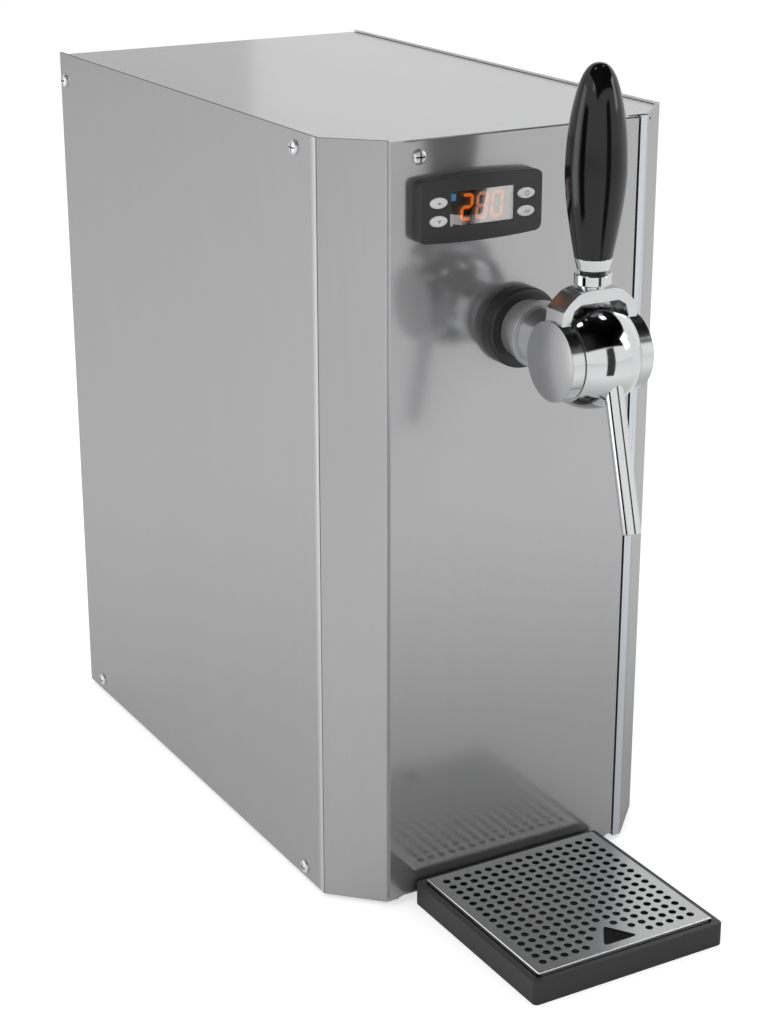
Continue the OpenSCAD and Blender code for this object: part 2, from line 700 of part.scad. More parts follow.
module drip_tray() placed() color("#2b2b2d") difference() {
    at_tray(-foot_h) linear_extrude(rim_z + foot_h) polygon(rounded(tray_w, tray_d, 3));
    at_tray(ledge_z) linear_extrude(20) polygon(rounded(tray_w - 2 * tray_wall, tray_d - 2 * tray_wall, 2));
    at_tray(tray_floor - foot_h) linear_extrude(20)
        polygon(rounded(tray_w - 2 * tray_wall - 6, tray_d - 2 * tray_wall - 6, 3));
}

// Holes are left out round the finger hole, which lies by the front edge
function left_out(i, j) = (j == 0 && abs(i) <= 2) || (j == 1 && abs(i) <= 1) || (j == 2 && i == 0);

finger_w = 21;
finger_y0 = -52.2;
finger_y1 = -34.9;
finger_r = 1.5;
finger_hole = concat(arc(0, finger_y1 - 2 * finger_r, finger_r, 150, 30, 4),
    arc(finger_w / 2 - 1.9, finger_y0 + finger_r, finger_r, 30, -90, 4),
    arc(1.9 - finger_w / 2, finger_y0 + finger_r, finger_r, 270, 150, 4));

module drip_grid() placed() color("silver") {
    mid = (holes - 1) / 2;
    at_tray(grid_z - grid_sheet) linear_extrude(grid_sheet) difference() {
        square(grid_w, center = true);
        for (i = [-mid:mid], j = [0:holes - 1])
            if (!left_out(i, j)) translate([i, j - mid] * hole_pitch) circle(r = hole_r, $fn = 24);
        polygon(finger_hole);
    }
    for (a = [0:90:270]) at_tray(ledge_z) rotate([0, 0, a])
        block(2 - grid_w / 2, grid_w / 2 - 2, -grid_w / 2, grid_sheet - grid_w / 2, 0, 8 - grid_sheet);
}

module heater_block() placed() color("silver") difference() {
    block(block_x - block_w / 2, block_x + block_w / 2, block_y - block_w / 2, block_y + block_w / 2,
        block_z, block_top);
    for (p = elements_xy) rod_z(p[0], p[1], element_bore, block_z + 20, block_top + 1);
    rod_z(probe_xy[0], probe_xy[1], 3.05, block_top - 60, block_top + 1);
    rod_z(front_x, outlet_y, 5.05, block_top - 20, block_top + 1);
    rod_y(block_x, feed_z, 5.05, block_y + block_w / 2 - 20, block_y + block_w / 2 + 1);
}

module heater_standoffs() placed() color("tan") for (i = [-1, 1], j = [-1, 1])
    rod_z(block_x + i * 42, block_y + j * 42, 8, floor_top, block_z);

// The ends of the wine coil that is cast into the block
module wine_tubes() placed() color("lightgray") difference() {
    union() {
        rod_z(front_x, outlet_y, barb_r, block_top - 20, block_top + tube_len);
        rod_y(block_x, feed_z, barb_r, block_y + block_w / 2 - 20, block_y + block_w / 2 + tube_len);
    }
    rod_z(front_x, outlet_y, 4, block_top - 19, block_top + tube_len + 1);
    rod_y(block_x, feed_z, 4, block_y + block_w / 2 - 19, block_y + block_w / 2 + tube_len + 1);
}

module heating_elements() placed() color("dimgray") for (p = elements_xy) {
    rod_z(p[0], p[1], element_r, block_z + 21, block_top + 4);
    rod_z(p[0], p[1], 4, block_top + 3, 286);
}

module overheat_cutout() placed() color("white") translate([cutout_xy[0], cutout_xy[1], block_top]) {
    block(-7, 7, -12, 12, 0, 1);
    cylinder(r = 6.8, h = 11, $fn = 40);
    for (s = [-1, 1]) block(s * 4 - 0.4, s * 4 + 0.4, -3.2, 3.2, 10, 19);
}

module temperature_probe() placed() color("silver")
    rod_z(probe_xy[0], probe_xy[1], 3, block_top - 59, block_top + 15.5);

module pump_head() placed() color("#303034") difference() {
    union() {
        block(pump_x0, pump_x1, pump_y - 30, pump_y + 30, pump_base, pump_z + 30);
        rod_y(suction_x, suction_z, barb_r, pump_y + 29, pump_y + 30 + barb_len);
        rod_z(delivery_x, pump_y, barb_r, pump_z + 29, pump_z + 30 + barb_len);
    }
    rod_y(suction_x, suction_z, barb_bore, pump_y + 20, pump_y + 31 + barb_len);
    rod_z(delivery_x, pump_y, barb_bore, pump_z + 20, pump_z + 31 + barb_len);
}

module pump_motor() placed() color("gray") {
    rod_x(pump_y, pump_z, motor_r, pump_x0 - 62, pump_x0);
    rod_x(pump_y, pump_z, 10, -62.5, pump_x0 - 61);
}

module pump_bracket() placed() color("silver") {
    difference() {
        block(-55, pump_x1, pump_y - 32, pump_y + 32, pump_base - 2, pump_base);
        for (x = [-48, 50], y = [-26, 26]) rod_z(x, pump_y + y, 2.2, 0, 20);
    }
    for (x = [-48, 50], y = [-26, 26]) difference() {
        rod_z(x, pump_y + y, 5, floor_top, pump_base - 2);
        rod_z(x, pump_y + y, 2.2, 0, 20);
    }
    difference() {
        block(-45, -10, pump_y - 18, pump_y + 18, pump_base, pump_base + 20);
        rod_x(pump_y, pump_z, motor_r + 0.05, -50, 0);
    }
}

// The upright plate that carries the electrical parts, with its foot on the floor pan
module electrical_plate() placed() color("silver") {
    block(plate_x, plate_x + sheet, 70, 250, floor_top, 330);
    block(plate_x + sheet, plate_x + 20, 70, 250, floor_top, floor_top + sheet);
}

module power_supply() placed() color("lightgray")
    block(plate_x + sheet, plate_x + sheet + 38, 80, 178, 180, 309);

module heater_relay() placed() color("#37474f")
    block(plate_x + sheet, plate_x + sheet + 25, 195, 240, 221, 281);

module terminal_block() placed() color("beige") difference() {
    block(plate_x + sheet, plate_x + sheet + 20, 195, 245, 120, 145);
    for (i = [0:4]) rod_x(200 + i * 10, 138, 2.2, plate_x + 12, plate_x + 30);
}

module suction_hose() placed() color("white") difference() {
    rod_y(suction_x, suction_z, hose_out, pump_y + 32, case_d - 6);
    rod_y(suction_x, suction_z, hose_in, pump_y, case_d);
}

module pump_hose() placed() color("white") hose(pump_hose_route, [1, 0, 0]);

module tap_hose() placed() color("white") hose(tap_hose_route, [1, 0, 0]);

// The bulkhead fitting for the wine hose from the supply container
module hose_inlet() placed() color("gold") difference() {
    union() {
        rod_y(suction_x, suction_z, barb_r, case_d - 28, case_d + inlet_reach);
        rod_y(suction_x, suction_z, 10, case_d - 5, case_d + 1);
        rod_y(suction_x, suction_z, 13, case_d - 4.5, case_d - sheet);
        translate([suction_x, case_d + 6, suction_z]) rotate([90, 0, 0]) cylinder(r = 13.2, h = 6, $fn = 6);
    }
    rod_y(suction_x, suction_z, barb_bore, case_d - 30, case_d + inlet_reach + 1);
}

module cable_gland() placed() color("#2b2b2d") difference() {
    union() {
        rod_y(gland_x, gland_z, 10, case_d - 12, case_d + 1);
        translate([gland_x, case_d - sheet, gland_z]) rotate([90, 0, 0]) cylinder(r = 14, h = 5, $fn = 6);
        translate([gland_x, case_d + 7, gland_z]) rotate([90, 0, 0]) cylinder(r = 14, h = 7, $fn = 6);
        translate([gland_x, case_d + 6.9, gland_z]) rotate([-90, 0, 0])
            cylinder(r1 = 12, r2 = 9, h = 12.1, $fn = 48);
    }
    rod_y(gland_x, gland_z, 4.5, case_d - 20, case_d + 30);
}

module at_switch() {
    translate([switch_x, case_d, switch_z]) children();
}

module switch_frame() placed() color("#202022") at_switch() difference() {
    union() {
        block(-11, 11, 0, 2, -15, 15);
        block(-9.5, 9.5, -24, 0.1, -13.5, 13.5);
        for (z = [-7, 5]) block(-3, 3, -26, -23, z - 0.4, z + 0.4);
    }
    block(-8, 8, -16, 3, -12.5, 12.5);
    rod_x(-4, 0, 1.55, -9, 9);
}

// The rocker, drawn in its off position
module switch_rocker() placed() color("red") at_switch() translate([0, -4, 0]) rotate([rocker_off, 0, 0]) {
    translate([-7.7, 0, 0]) rotate([90, 0, 90]) linear_extrude(15.4)
        polygon([[-6, -7], [4, -11], [7.5, -11], [5.8, 0], [7.5, 11], [4, 11], [-6, 7]]);
    rod_x(0, 0, 1.5, -8.9, 8.9);
}

module power_wires() placed() color("brown") {
    tube(heater_wire_a, 2, 8, [0, 1, 0]);
    tube(heater_wire_b, 2, 8, [0, 1, 0]);
    tube(mains_wire, 3, 8, [0, 0, 1]);
    tube(pump_wire, 2, 8, [0, 1, 0]);
}

module control_wires() placed() color("gray") {
    tube(probe_wire, 1.5, 8, [1, 0, 0]);
    tube(supply_wire, 2, 8, [1, 0, 0]);
}

floor_pan();
back_panel();
left_cover();
right_cover();
top_cover();
left_post();
right_post();
left_rear_rail();
right_rear_rail();
front_panel();
rubber_feet();
case_screws();
controller_bezel();
controller_window();
display_module();
control_board();
controller_housing();
controller_clips();
up_button();
down_button();
set_button();
power_button();
tap_rosette();
tap_collar();
tap_body();
tap_shank();
shank_nut();
spout_tube();
shaft_seals();
tap_yoke();
valve_shaft();
handle_stud();
handle_nut();
handle_washer();
handle_ferrule();
tap_handle();
drip_tray();
drip_grid();
heater_block();
heater_standoffs();
wine_tubes();
heating_elements();
overheat_cutout();
temperature_probe();
pump_head();
pump_motor();
pump_bracket();
electrical_plate();
power_supply();
heater_relay();
terminal_block();
suction_hose();
pump_hose();
tap_hose();
hose_inlet();
cable_gland();
switch_frame();
switch_rocker();
power_wires();
control_wires();
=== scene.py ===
"""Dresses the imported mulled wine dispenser: folded steel case, panel controller, ball tap with its lever,
drip tray with its grid, the fittings on the back, and the studio that it is photographed in."""

import json
import math
from functools import partial

import bmesh
import bpy
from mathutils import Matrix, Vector


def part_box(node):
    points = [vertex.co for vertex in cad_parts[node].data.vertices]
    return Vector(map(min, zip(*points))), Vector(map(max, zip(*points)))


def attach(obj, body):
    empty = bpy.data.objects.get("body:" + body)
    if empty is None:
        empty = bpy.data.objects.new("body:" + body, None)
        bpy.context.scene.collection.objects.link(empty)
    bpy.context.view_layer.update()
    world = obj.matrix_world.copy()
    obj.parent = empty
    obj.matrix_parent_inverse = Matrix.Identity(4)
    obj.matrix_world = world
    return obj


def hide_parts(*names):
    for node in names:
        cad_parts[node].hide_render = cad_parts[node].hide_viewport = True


bl_info = {
    "name": "Mulled wine dispenser",
    "version": (1, 0, 0),
    "blender": (4, 5, 0),
    "location": "View3D > Sidebar > Dispenser",
    "description": "Finished pieces, materials and studio for a mulled wine dispenser",
    "category": "Object",
}

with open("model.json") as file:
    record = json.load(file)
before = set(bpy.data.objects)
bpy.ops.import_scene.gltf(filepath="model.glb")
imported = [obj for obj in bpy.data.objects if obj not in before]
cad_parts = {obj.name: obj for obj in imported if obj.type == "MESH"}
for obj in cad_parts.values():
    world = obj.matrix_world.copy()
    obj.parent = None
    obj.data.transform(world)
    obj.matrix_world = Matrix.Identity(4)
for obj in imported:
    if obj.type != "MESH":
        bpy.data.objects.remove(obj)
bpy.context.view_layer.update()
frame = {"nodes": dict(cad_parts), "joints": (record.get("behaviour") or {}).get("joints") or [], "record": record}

MM = 0.001
MERGE = 0.002 * MM  # points nearer to each other than this are one
NEAR = 0.02 * MM  # a point that is nearer than this to a plane lies in it
FLAT = math.radians(0.4)  # triangles that meet at less than this are one face
SHARP = math.radians(32)  # edges that turn by more than this are rounded
SMOOTH = math.radians(38)  # edges that turn by less than this are shaded smooth
SLOT_OF = {part["node"]: part["material_slot"] for part in frame["record"]["subparts"]}
BODY_OF = {node: body for body, nodes in frame["record"]["behaviour"]["bodies"].items() for node in nodes}
BALL = Vector(next(joint["pos_m"] for joint in frame["joints"] if joint["name"] == "lever_tilt"))
FORWARDS = (math.pi / 2, 0, 0)  # turns what faces up to face the front
CAP_RADIUS = 20.8 * MM
CAP_CROWN = 1.4 * MM  # how far a yoke cap's middle stands out
CAP_REACH = 24.4 * MM  # from the ball's middle to just inside the caps' faces


# Sizes and colours that a user would change
class CaseLook(bpy.types.PropertyGroup):
    bend: bpy.props.FloatProperty(
        name="Bend radius", description="Outside radius of a fold in the sheet", default=1.2 * MM,
        unit="LENGTH")
    top_bend: bpy.props.FloatProperty(
        name="Upper bend radius", description="Outside radius of the front panel's upper fold",
        default=1.1 * MM, unit="LENGTH")
    cut_edge: bpy.props.FloatProperty(
        name="Cut edge", description="Rounding left on the sheet's cut edges", default=0.2 * MM,
        unit="LENGTH")
    steel: bpy.props.FloatVectorProperty(
        name="Steel", description="Colour of the satin stainless sheet", default=(0.487, 0.487, 0.494),
        subtype="COLOR")
    gloss: bpy.props.FloatProperty(
        name="Roughness", description="How far the sheet spreads a clear reflection", default=0.13,
        subtype="FACTOR")
    haze: bpy.props.FloatProperty(
        name="Haze", description="Share of a reflection that the sheet spreads widely", default=0.44,
        subtype="FACTOR")
    # Painted highlight: a pale bluish strip on the right post's front, standing in for the light its polished face
    # reflects.
    painted_highlight: bpy.props.FloatVectorProperty(
        name="Highlight", description="Colour of the strip that still has its protective film",
        default=(0.68, 0.71, 0.75), subtype="COLOR")


class ControllerLook(bpy.types.PropertyGroup):
    edge: bpy.props.FloatProperty(
        name="Bezel edge", description="Rounding of the bezel's front edge", default=1.1 * MM, unit="LENGTH")
    lower_zone: bpy.props.FloatProperty(
        name="Lower zone", description="Height of the sloped zone along the bezel's foot", default=6.4 * MM,
        unit="LENGTH")
    zone_slope: bpy.props.FloatProperty(
        name="Zone slope", description="How far the lower zone leans back", default=math.radians(10),
        subtype="ANGLE")
    digit_w: bpy.props.FloatProperty(
        name="Digit width", description="Width of a display digit", default=7.4 * MM, unit="LENGTH")
    digit_h: bpy.props.FloatProperty(
        name="Digit height", description="Height of a display digit", default=14.2 * MM, unit="LENGTH")
    digit_pitch: bpy.props.FloatProperty(
        name="Digit pitch", description="Distance from one digit to the next", default=9.15 * MM,
        unit="LENGTH")
    glow: bpy.props.FloatVectorProperty(
        name="Digit colour", description="Colour of the lit segments", default=(1.0, 0.23, 0.018),
        subtype="COLOR")
    lamp: bpy.props.FloatVectorProperty(
        name="Lamp colour", description="Colour of the small square lamp", default=(0.12, 0.4, 0.72),
        subtype="COLOR")


class TapLook(bpy.types.PropertyGroup):
    chrome: bpy.props.FloatVectorProperty(
        name="Chrome", description="Colour of the polished chrome", default=(0.68, 0.685, 0.69),
        subtype="COLOR")
    satin: bpy.props.FloatVectorProperty(
        name="Satin chrome", description="Colour of the brushed collar and caps",
        default=(0.33, 0.33, 0.335), subtype="COLOR")
    edge: bpy.props.FloatProperty(
        name="Edge", description="Rounding of the tap's edges", default=0.5 * MM, unit="LENGTH")
    handle: bpy.props.FloatVectorProperty(
        name="Handle", description="Colour of the polished handle", default=(0.005, 0.005, 0.0055),
        subtype="COLOR")


class StudioLook(bpy.types.PropertyGroup):
    room: bpy.props.FloatProperty(
        name="Room light", description="Strength of the even light from all round", default=0.5)
    key: bpy.props.FloatProperty(
        name="Key light", description="Power of the large lamp at the front left", default=9.0, unit="POWER")
    top: bpy.props.FloatProperty(
        name="Top light", description="Power of the large lamp over the object", default=8.0, unit="POWER")
    lens: bpy.props.FloatProperty(
        name="Lens", description="Focal length of the camera in millimetres", default=76.37)


# Selecting and finishing, as by hand
def pick(piece=None):
    """In object mode, selects one piece or nothing."""
    if bpy.context.object and bpy.context.object.mode != "OBJECT":
        bpy.ops.object.mode_set(mode="OBJECT")
    bpy.ops.object.select_all(action="DESELECT")
    if piece:
        piece.select_set(True)
        bpy.context.view_layer.objects.active = piece


def edit(piece):
    pick(piece)
    bpy.ops.object.mode_set(mode="EDIT")
    bpy.ops.mesh.select_all(action="SELECT")


def settle(piece):
    """Takes the piece's place, turn and size into its mesh."""
    pick(piece)
    bpy.ops.object.transform_apply(location=True, rotation=True, scale=True)


def put(piece, place, turn=(0, 0, 0)):
    """Turns a piece, moves it to its place, and takes both into its mesh."""
    piece.rotation_euler = turn
    piece.location = place
    settle(piece)
    return piece


def choose(piece, kind, test):
    """In edit mode, selects only the edges or faces that pass the test."""
    bpy.ops.mesh.select_mode(type={"edges": "EDGE", "faces": "FACE"}[kind])
    bpy.ops.mesh.select_all(action="DESELECT")
    mesh = bmesh.from_edit_mesh(piece.data)
    for element in getattr(mesh, kind):
        if test(element):
            element.select_set(True)
    bmesh.update_edit_mesh(piece.data)


def close_to(value, wanted):
    return abs(value - wanted) < NEAR


def both_ends(edge, axis, wanted):
    return all(close_to(vertex.co[axis], wanted) for vertex in edge.verts)


def copy_of(node):
    """A copy of a CAD node's mesh whose loose triangles are merged into whole faces."""
    piece = bpy.data.objects.new(node + "_dressed", frame["nodes"][node].data.copy())
    bpy.context.scene.collection.objects.link(piece)
    pick(piece)
    bpy.ops.mesh.customdata_custom_splitnormals_clear()
    edit(piece)
    bpy.ops.mesh.remove_doubles(threshold=MERGE)
    bpy.ops.mesh.dissolve_limited(angle_limit=FLAT)
    bpy.ops.object.mode_set(mode="OBJECT")
    return piece


def fold(piece, radius, test, segments=4):
    """Rounds the edges that pass the test, as where a sheet is folded."""
    edit(piece)
    choose(piece, "edges", test)
    bpy.ops.mesh.bevel(offset=radius, segments=segments, affect="EDGES", clamp_overlap=True)
    bpy.ops.object.mode_set(mode="OBJECT")


def modify(piece, kind, **settings):
    """Adds a modifier with its settings and applies it."""
    pick(piece)
    bpy.ops.object.modifier_add(type=kind)
    modifier = piece.modifiers[-1]
    for name, value in settings.items():
        setattr(modifier, name, value)
    bpy.ops.object.modifier_apply(modifier=modifier.name)


def finish_piece(piece, finish, body, nodes=(), edge=0.0, segments=3, crisp=True):
    """Rounds what is still sharp, smooths the shading, and says what the piece is."""
    settle(piece)
    if edge:
        modify(piece, "BEVEL", width=edge, segments=segments, limit_method="ANGLE", angle_limit=SHARP,
            use_clamp_overlap=True)
    bpy.ops.object.shade_smooth_by_angle(angle=SMOOTH)
    if crisp:
        modify(piece, "WEIGHTED_NORMAL", keep_sharp=True, weight=60)
    piece.data.materials.clear()
    piece.data.materials.append(finish_of(finish))
    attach(piece, body)
    if nodes:
        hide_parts(*nodes)


def dress(node, finish, edge, segments=3, piece=None):
    """A CAD node, or a piece shaped from it, as a finished piece of its own."""
    finish_piece(piece or copy_of(node), finish, BODY_OF[node], [node], edge, segments)


# Pieces from outlines in millimetres
def softened(points, steps):
    """A line of (radius, distance) or (radius, distance, rounding) points with its corners rounded."""
    line = []
    for i, point in enumerate(points):
        corner = Vector(point[:2])
        rounding = point[2] if len(point) > 2 else 0
        if not rounding or i in (0, len(points) - 1):
            line.append(corner)
            continue
        before = (Vector(points[i - 1][:2]) - corner).normalized() * rounding
        after = (Vector(points[i + 1][:2]) - corner).normalized() * rounding
        for k in range(steps + 1):
            t = k / steps
            line.append(corner + before * (1 - t) ** 2 + after * t ** 2)
    return line


def turned(name, outline, place=(0, 0, 0), turn=(0, 0, 0), closed=False, sides=96):
    """A turned piece: a ring of the first radius, extruded and resized from point to point of the outline."""
    pick()
    radius, start = outline[0]
    bpy.ops.mesh.primitive_circle_add(
        vertices=sides, radius=radius * MM, fill_type="NOTHING", location=(0, 0, start * MM))
    piece = bpy.context.object
    piece.name = name
    edit(piece)
    if not closed:
        bpy.ops.mesh.edge_face_add()
    for last, point in zip(outline, outline[1:]):
        bpy.ops.mesh.extrude_edges_move(TRANSFORM_OT_translate={"value": (0, 0, (point[1] - last[1]) * MM)})
        scale = point[0] / last[0]
        bpy.ops.transform.resize(value=(scale, scale, 1), center_override=(0, 0, point[1] * MM))
    if not closed:
        bpy.ops.mesh.edge_face_add()
    bpy.ops.mesh.select_all(action="SELECT")
    bpy.ops.mesh.remove_doubles(threshold=MERGE)
    bpy.ops.mesh.normals_make_consistent(inside=False)
    settle(piece)
    return put(piece, place, turn)


def plate(name, outline, thickness):
    """A plate in the XY plane: a ring of points laid on the outline, filled and extruded along Z."""
    pick()
    bpy.ops.mesh.primitive_circle_add(vertices=len(outline), radius=1, fill_type="NGON")
    piece = bpy.context.object
    piece.name = name
    for vertex, (x, y) in zip(piece.data.vertices, outline):
        vertex.co = (x * MM, y * MM, 0)
    edit(piece)
    bpy.ops.mesh.extrude_region_move(TRANSFORM_OT_translate={"value": (0, 0, thickness * MM)})
    bpy.ops.mesh.select_all(action="SELECT")
    bpy.ops.mesh.normals_make_consistent(inside=False)
    bpy.ops.object.mode_set(mode="OBJECT")
    return piece


def joined(pieces, name):
    pick()
    for piece in pieces:
        piece.select_set(True)
    bpy.context.view_layer.objects.active = pieces[0]
    if len(pieces) > 1:
        bpy.ops.object.join()
    pieces[0].name = name
    return pieces[0]


# Shader nodes
def add(tree, kind, settings=None, **sockets):
    """A node with its settings, and its sockets given a value or another node's output."""
    node = tree.nodes.new("ShaderNode" + kind)
    for name, value in (settings or {}).items():
        setattr(node, name, value)
    for name, value in sockets.items():
        key = int(name[1:]) if name[0] == "_" else name.replace("_", " ")
        if isinstance(value, bpy.types.NodeSocket):
            tree.links.new(value, node.inputs[key])
        else:
            node.inputs[key].default_value = value
    return node


def arithmetic(operation, tree, first, second):
    return add(tree, "Math", {"operation": operation}, _0=first, _1=second).outputs[0]


plus, times = partial(arithmetic, "ADD"), partial(arithmetic, "MULTIPLY")


def ramp(tree, value, low, high, start=0.0, end=1.0, kind="LINEAR"):
    """Takes a value from low to high to one from start to end, and holds it beyond them."""
    return add(tree, "MapRange", {"clamp": True, "interpolation_type": kind}, Value=value, From_Min=low,
        From_Max=high, To_Min=start, To_Max=end).outputs[0]


def shade(tree, colour, mask, other):
    """One colour, or a socket's, going over to another by a mask."""
    if not isinstance(colour, bpy.types.NodeSocket):
        colour = (*colour, 1)
    return add(tree, "Mix", {"data_type": "RGBA"}, _0=mask, _6=colour, _7=(*other, 1)).outputs[2]


def bump(tree, shader, height, depth):
    tree.links.new(add(tree, "Bump", Strength=1.0, Distance=depth, Height=height).outputs[0],
        shader.inputs["Normal"])


def band(tree, axis, low, high, blur):
    """A mask that is 1 where a coordinate lies between two values, and fades out beside them."""
    place = add(tree, "SeparateXYZ", Vector=add(tree, "TexCoord").outputs["Object"]).outputs[axis]
    return times(tree, ramp(tree, place, low - blur, low + blur), ramp(tree, place, high + blur, high - blur))


def darker(colour, share):
    return tuple(value * share for value in colour)


# Shader node groups for the effects that several finishes share
def new_group(name, inputs, outputs):
    tree = bpy.data.node_groups.new(name, "ShaderNodeTree")
    for label, kind, value in inputs:
        socket = tree.interface.new_socket(label, in_out="INPUT", socket_type="NodeSocket" + kind)
        socket.default_value = value
    for label, kind in outputs:
        tree.interface.new_socket(label, in_out="OUTPUT", socket_type="NodeSocket" + kind)
    return tree, tree.nodes.new("NodeGroupInput"), tree.nodes.new("NodeGroupOutput")


def grain_group():
    """Fine lines drawn along one direction, as left by a sanding belt."""
    tree, start, end = new_group("Belt grain", [
        ("Vector", "Vector", (0, 0, 0)), ("Stretch", "Vector", (1, 1, 1)), ("Fineness", "Float", 900.0)],
        [("Tone", "Float"), ("Height", "Float")])
    fineness = start.outputs["Fineness"]
    drawn = add(tree, "VectorMath", {"operation": "MULTIPLY"}, _0=start.outputs["Vector"],
        _1=start.outputs["Stretch"]).outputs[0]
    fine = add(tree, "TexNoise", Vector=drawn, Scale=fineness, Detail=3.0).outputs[0]
    broad = add(tree, "TexNoise", Vector=drawn, Scale=times(tree, fineness, 0.13), Detail=2.0).outputs[0]
    tree.links.new(plus(tree, times(tree, fine, 0.6), times(tree, broad, 0.4)), end.inputs["Tone"])
    tree.links.new(fine, end.inputs["Height"])
    return tree


def handling_group():
    """Soft cloudy marks that wiping and handling leave."""
    tree, start, end = new_group("Handling marks", [
        ("Vector", "Vector", (0, 0, 0)), ("Size", "Float", 9.0), ("Amount", "Float", 0.5)],
        [("Mask", "Float")])
    cloud = add(tree, "TexNoise", Vector=start.outputs["Vector"], Scale=start.outputs["Size"], Detail=4.0,
        Roughness=0.6, Distortion=0.6).outputs[0]
    tree.links.new(ramp(tree, cloud, 0.38, 0.68, 0.0, start.outputs["Amount"], "SMOOTHSTEP"),
        end.inputs["Mask"])
    return tree


def wear_group():
    """Edges and corners rubbed bright, broken up along their length."""
    tree, start, end = new_group("Edge wear", [
        ("Vector", "Vector", (0, 0, 0)), ("Amount", "Float", 0.5)], [("Mask", "Float")])
    edges = ramp(tree, add(tree, "NewGeometry").outputs["Pointiness"], 0.53, 0.62)
    broken = add(tree, "TexNoise", Vector=start.outputs["Vector"], Scale=320.0, Detail=3.0).outputs[0]
    tree.links.new(times(tree, times(tree, edges, broken), start.outputs["Amount"]), end.inputs["Mask"])
    return tree


def moulded_group():
    """The fine eroded texture of moulded plastic and rubber."""
    tree, start, end = new_group("Moulded grain", [
        ("Vector", "Vector", (0, 0, 0)), ("Fineness", "Float", 1500.0)],
        [("Tone", "Float"), ("Height", "Float")])
    vector, fineness = start.outputs["Vector"], start.outputs["Fineness"]
    cells = add(tree, "TexVoronoi", {"feature": "SMOOTH_F1"}, Vector=vector, Scale=fineness)
    cloud = add(tree, "TexNoise", Vector=vector, Scale=times(tree, fineness, 0.35), Detail=3.0).outputs[0]
    tree.links.new(cloud, end.inputs["Tone"])
    tree.links.new(plus(tree, times(tree, cells.outputs["Distance"], 0.5), cloud), end.inputs["Height"])
    return tree


GROUP_MAKERS = {
    "grain": grain_group, "handling": handling_group, "wear": wear_group, "moulded": moulded_group}
groups = {}


def effect(tree, name, **sockets):
    """Places a shared effect, reading Object coordinates, in a material."""
    if name not in groups:
        groups[name] = GROUP_MAKERS[name]()
    node = tree.nodes.new("ShaderNodeGroup")
    node.node_tree = groups[name]
    tree.links.new(add(tree, "TexCoord").outputs["Object"], node.inputs["Vector"])
    for label, value in sockets.items():
        node.inputs[label].default_value = value
    return node


# Finishes
METAL_TINT = (0.8, 0.8, 0.8, 1)  # what a glancing reflection keeps
HAZE_SPREAD = 0.34  # how much rougher the sheet's haze is than its clear reflection
EVEN, SIDEWAYS, LENGTHWAYS, UPRIGHT = (1, 1, 1), (0.03, 1, 1), (1, 0.02, 1), (1, 1, 0.02)  # ways of the grain


def new_finish(name, **sockets):
    """A material and its shader, some of whose own sockets are given a value."""
    material = bpy.data.materials.new(name)
    material.use_nodes = True
    shader = material.node_tree.nodes["Principled BSDF"]
    for label, value in sockets.items():
        shader.inputs[label.replace("_", " ")].default_value = value
    return material, material.node_tree, shader


def roughen(tree, shader, roughness, tone, marks, smear):
    """Roughness that varies with the grain and is higher where the surface was wiped."""
    rough = ramp(tree, tone, 0, 1, roughness - 0.03, roughness + 0.03)
    tree.links.new(plus(tree, rough, times(tree, marks, smear)), shader.inputs["Roughness"])


def satin_steel(name, colour, roughness, stretch=EVEN, fineness=900.0, contrast=0.05, strips=()):
    """Stainless or plated sheet with a fine belt grain, faint wiping marks and strips of another colour,
    each given as the axis it is measured along, its two limits, how softly it ends, and its colour."""
    material, tree, shader = new_finish(name, Metallic=1, Specular_Tint=METAL_TINT)
    grain = effect(tree, "grain", Stretch=stretch, Fineness=fineness)
    marks = effect(tree, "handling", Size=7.0, Amount=0.5)
    shown = shade(tree, darker(colour, 1 - contrast), grain.outputs["Tone"], darker(colour, 1 + contrast))
    for *limits, other in strips:
        shown = shade(tree, shown, band(tree, *limits), other)
    tree.links.new(shown, shader.inputs["Base Color"])
    roughen(tree, shader, roughness, grain.outputs["Tone"], marks.outputs["Mask"], 0.05)
    bump(tree, shader, grain.outputs["Height"], 0.004 * MM)
    return material


def case_sheet(name, stretch=UPRIGHT, strips=(), tone=1.0):
    """The case's sheet: a clear reflection under a wide haze."""
    look = bpy.context.scene.dispenser_case
    # A tone above 1 paints light into the whole sheet's colour.
    material = satin_steel(name, darker(look.steel, tone), look.gloss, stretch, strips=strips)
    tree = material.node_tree
    clear = tree.nodes["Principled BSDF"]
    colour, rough, normal = (
        clear.inputs[label].links[0].from_socket for label in ("Base Color", "Roughness", "Normal"))
    hazy = add(tree, "BsdfPrincipled", Metallic=1, Specular_Tint=METAL_TINT, Base_Color=colour,
        Roughness=plus(tree, rough, HAZE_SPREAD), Normal=normal)
    both = add(tree, "MixShader", _0=look.haze, _1=clear.outputs[0], _2=hazy.outputs[0])
    tree.links.new(both.outputs[0], tree.nodes["Material Output"].inputs["Surface"])
    return material


def polished_metal(name, colour, roughness, cap_colour=None, metallic=1.0):
    """Chrome or plain turned metal with hardly visible wiping marks, and satin on the yoke's caps."""
    material, tree, shader = new_finish(name, Metallic=metallic)
    marks = effect(tree, "handling", Size=60.0, Amount=0.6).outputs["Mask"]
    shown = shade(tree, colour, marks, darker(colour, 0.96))
    rough = plus(tree, times(tree, marks, 0.03), roughness)
    if cap_colour:
        between = band(tree, 0, BALL.x - CAP_REACH, BALL.x + CAP_REACH, 0.2 * MM)
        caps = arithmetic("SUBTRACT", tree, 1.0, between)
        shown = shade(tree, shown, caps, cap_colour)
        rough = plus(tree, rough, times(tree, caps, 0.06))
    tree.links.new(shown, shader.inputs["Base Color"])
    tree.links.new(rough, shader.inputs["Roughness"])
    return material


